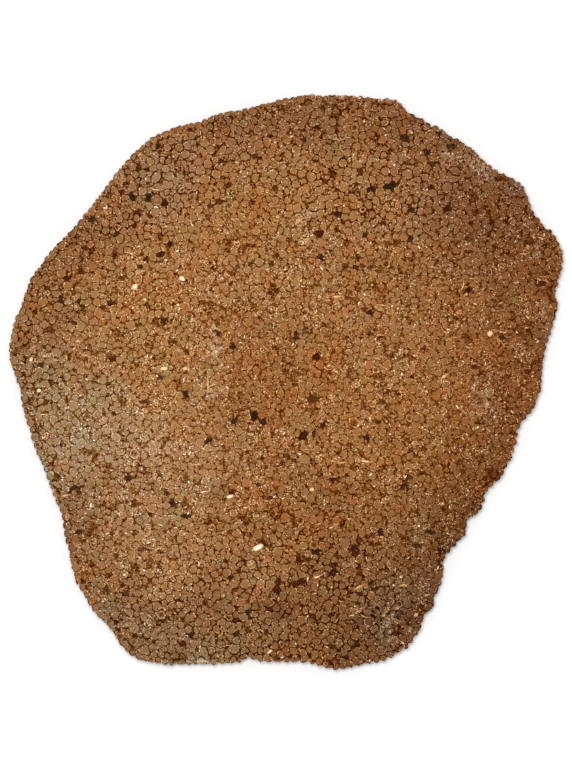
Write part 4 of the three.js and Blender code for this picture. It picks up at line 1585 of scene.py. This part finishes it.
# Each piece has a flat map, so that its finish can be baked without loss.
def faceTable(mesh):
    # for each face its first corner, its number of corners and its normal, and each corner's point
    faces, corners = len(mesh.polygons), len(mesh.loops)
    count, first, corner = (np.empty(size, np.int32) for size in (faces, faces, corners))
    mesh.polygons.foreach_get("loop_total", count)
    mesh.polygons.foreach_get("loop_start", first)
    mesh.loops.foreach_get("vertex_index", corner)
    normal = np.empty(faces * 3)
    mesh.polygons.foreach_get("normal", normal)
    return count, first, corner, normal.reshape(-1, 3)


# Where each side of a piece lies in its map: where it starts, and its height.
mapRows = {
    "seen": (0.29, 0.71), "away": (0, 0.28),
    "top": (0.48, 0.52), "back": (0.12, 0.35), "edge": (0, 0.11),
}


def inRow(name, height):
    start, scale = mapRows[name]
    return start + scale * height


def addMap(mesh, uv):
    mesh.uv_layers.new(name="OFBake").uv.foreach_set("vector", uv.astype(np.float32).ravel())


def aroundOf(x, y, corner, first, count, closeAt):
    # how far round each corner lies, from 0 to 1, with the faces across the seam kept whole
    around = (np.arctan2(y, x) / (2 * math.pi) + 0.5)[corner]
    wraps = np.repeat(np.maximum.reduceat(around, first) - np.minimum.reduceat(around, first) > 0.5, count)
    closing = wraps & (around < 0.5)
    around[closing] = closeAt(around[closing])
    return around


def mapFlat(piece, seen=1):
    # as it lies; the faces that look away go in a strip below the others
    count, _, corner, normal = faceTable(piece.data)
    points = meshPoints(piece.data)[:, :2]
    uv = ((points - points.min(0)) / np.ptp(points, axis=0))[corner]
    shown = np.repeat(normal[:, 2] * seen > 0.05, count)
    uv[:, 1] = np.where(shown, inRow("seen", uv[:, 1]), inRow("away", uv[:, 1]))
    addMap(piece.data, uv)


def mapRock(piece):
    # top, back and broken edge, one above the other
    count, first, corner, normal = faceTable(piece.data)
    points = meshPoints(piece.data) / mm
    uv = ((points[:, :2] - points[:, :2].min(0)) / np.ptp(points[:, :2], axis=0))[corner]
    nearEdge = ~insideBy(points, 2.5)[corner]
    atEdge = np.repeat((abs(normal[:, 2]) < 0.6) & np.logical_and.reduceat(nearEdge, first), count)
    up = np.repeat(normal[:, 2] > -0.3, count)
    around = aroundOf(points[:, 0], points[:, 1], corner, first, count, np.ones_like)
    uv[:, 1] = np.where(up, inRow("top", uv[:, 1]), inRow("back", uv[:, 1]))
    uv[atEdge] = np.stack([around, inRow("edge", points[corner, 2] / thickness)], axis=1)[atEdge]
    addMap(piece.data, uv)


def mapEdgeTubes(piece, local, owner):
    # a cell for each tube: its side unrolled, and its two ends beside each other above that
    count, first, corner, _ = faceTable(piece.data)
    across = 22   # cells in a row
    down = math.ceil(len(rimMembers) / across)
    row = rimRow[owner]
    cell = np.stack([row % across, row // across], axis=1)[corner]
    share = fromMiddle(local)[corner]
    atEnd = np.repeat((np.minimum.reduceat(share, first) < 0.95) | (count > 4), count)
    low = np.repeat(count > 4, count)
    around = aroundOf(local[:, 0], local[:, 1], corner, first, count, lambda part: part + 1)
    height = meshPoints(piece.data)[corner, 2] / mm / thickness
    side = np.stack([0.02 + 0.96 * around / (1 + 1 / sides), 0.02 + 0.68 * height], axis=1)
    end = [np.where(low, 0.76, 0.25) + 0.22 * local[corner, 0], 0.86 + 0.12 * local[corner, 1]]
    addMap(piece.data, (cell + np.where(atEnd[:, None], np.stack(end, axis=1), side)) / (across, down))


print("laying out the maps")
looseBits = [grainPiece, crumbPiece, sliverPiece, chipPiece]
for piece in tubeBands + looseBits:
    mapFlat(piece)
for piece in backPieces:
    mapFlat(piece, seen=-1)
mapRock(rockPiece)
mapEdgeTubes(rimPiece, rimLocal, rimOwner)

print("mixing the finishes")
finishes = [(coralMaterial(), tubeBands + backPieces + [rimPiece]), (crystalMaterial(), looseBits),
            (rockMaterial(), [rockPiece])]
for material, pieces in finishes:
    for piece in pieces:
        piece.data.materials.append(material)


view = {
    "mmPerPixel": 0.5,
    "pixels": (572, 764),
    "distance": 2.6,        # m
    "sensor": 36,
}
studio = {
    "floorSize": 8,         # m
    "floorGap": 0.0002,
    "floorGrey": 0.90,
    "floorRoughness": 0.9,
    "sky": 0.53,
    "keyPlace": (-0.08, 0.12, 2.4),
    "keySize": 0.45,
    "keyPower": 42.6,       # W
}


def makeStage():
    nothingSelected()
    bpy.ops.mesh.primitive_plane_add(size=studio["floorSize"], location=(0, 0, -studio["floorGap"]))
    floor = bpy.context.object
    floor.name = "floor"
    material, _, shader = freshMaterial("floor_paint")
    shader.inputs["Base Color"].default_value = (*[studio["floorGrey"]] * 3, 1)
    shader.inputs["Roughness"].default_value = studio["floorRoughness"]
    floor.data.materials.append(material)


def lightStage():
    world = bpy.data.worlds.new("studio")
    bpy.context.scene.world = world
    world.use_nodes = True
    background = world.node_tree.nodes["Background"]
    background.inputs["Color"].default_value = (1, 1, 1, 1)
    background.inputs["Strength"].default_value = studio["sky"]
    light = bpy.data.lights.new("key", "AREA")
    light.shape = "DISK"
    light.size = studio["keySize"]
    light.energy = studio["keyPower"]
    lamp = bpy.data.objects.new("key", light)
    lamp.location = studio["keyPlace"]
    lamp.rotation_euler = (-lamp.location).to_track_quat("-Z", "Y").to_euler()
    bpy.context.scene.collection.objects.link(lamp)
    bpy.context.scene.view_settings.view_transform = "Standard"


def placeCamera():
    camera = bpy.data.cameras.new("camera")
    camera.sensor_width = view["sensor"]
    fieldHeight = view["pixels"][1] * view["mmPerPixel"] * mm
    camera.lens = view["sensor"] * view["distance"] / fieldHeight
    seen = bpy.data.objects.new("camera", camera)
    seen.location = (0, 0, sliceHigh.z + view["distance"])
    bpy.context.scene.collection.objects.link(seen)
    bpy.context.scene.camera = seen


makeStage()
lightStage()
placeCamera()

allPieces = tubeBands + backPieces + [rimPiece, rockPiece] + looseBits
for piece in allPieces:
    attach(piece, "root")
    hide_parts("coral_slice")

print("triangles", {piece.name: sum(len(face.vertices) - 2 for face in piece.data.polygons)
                    for piece in allPieces})
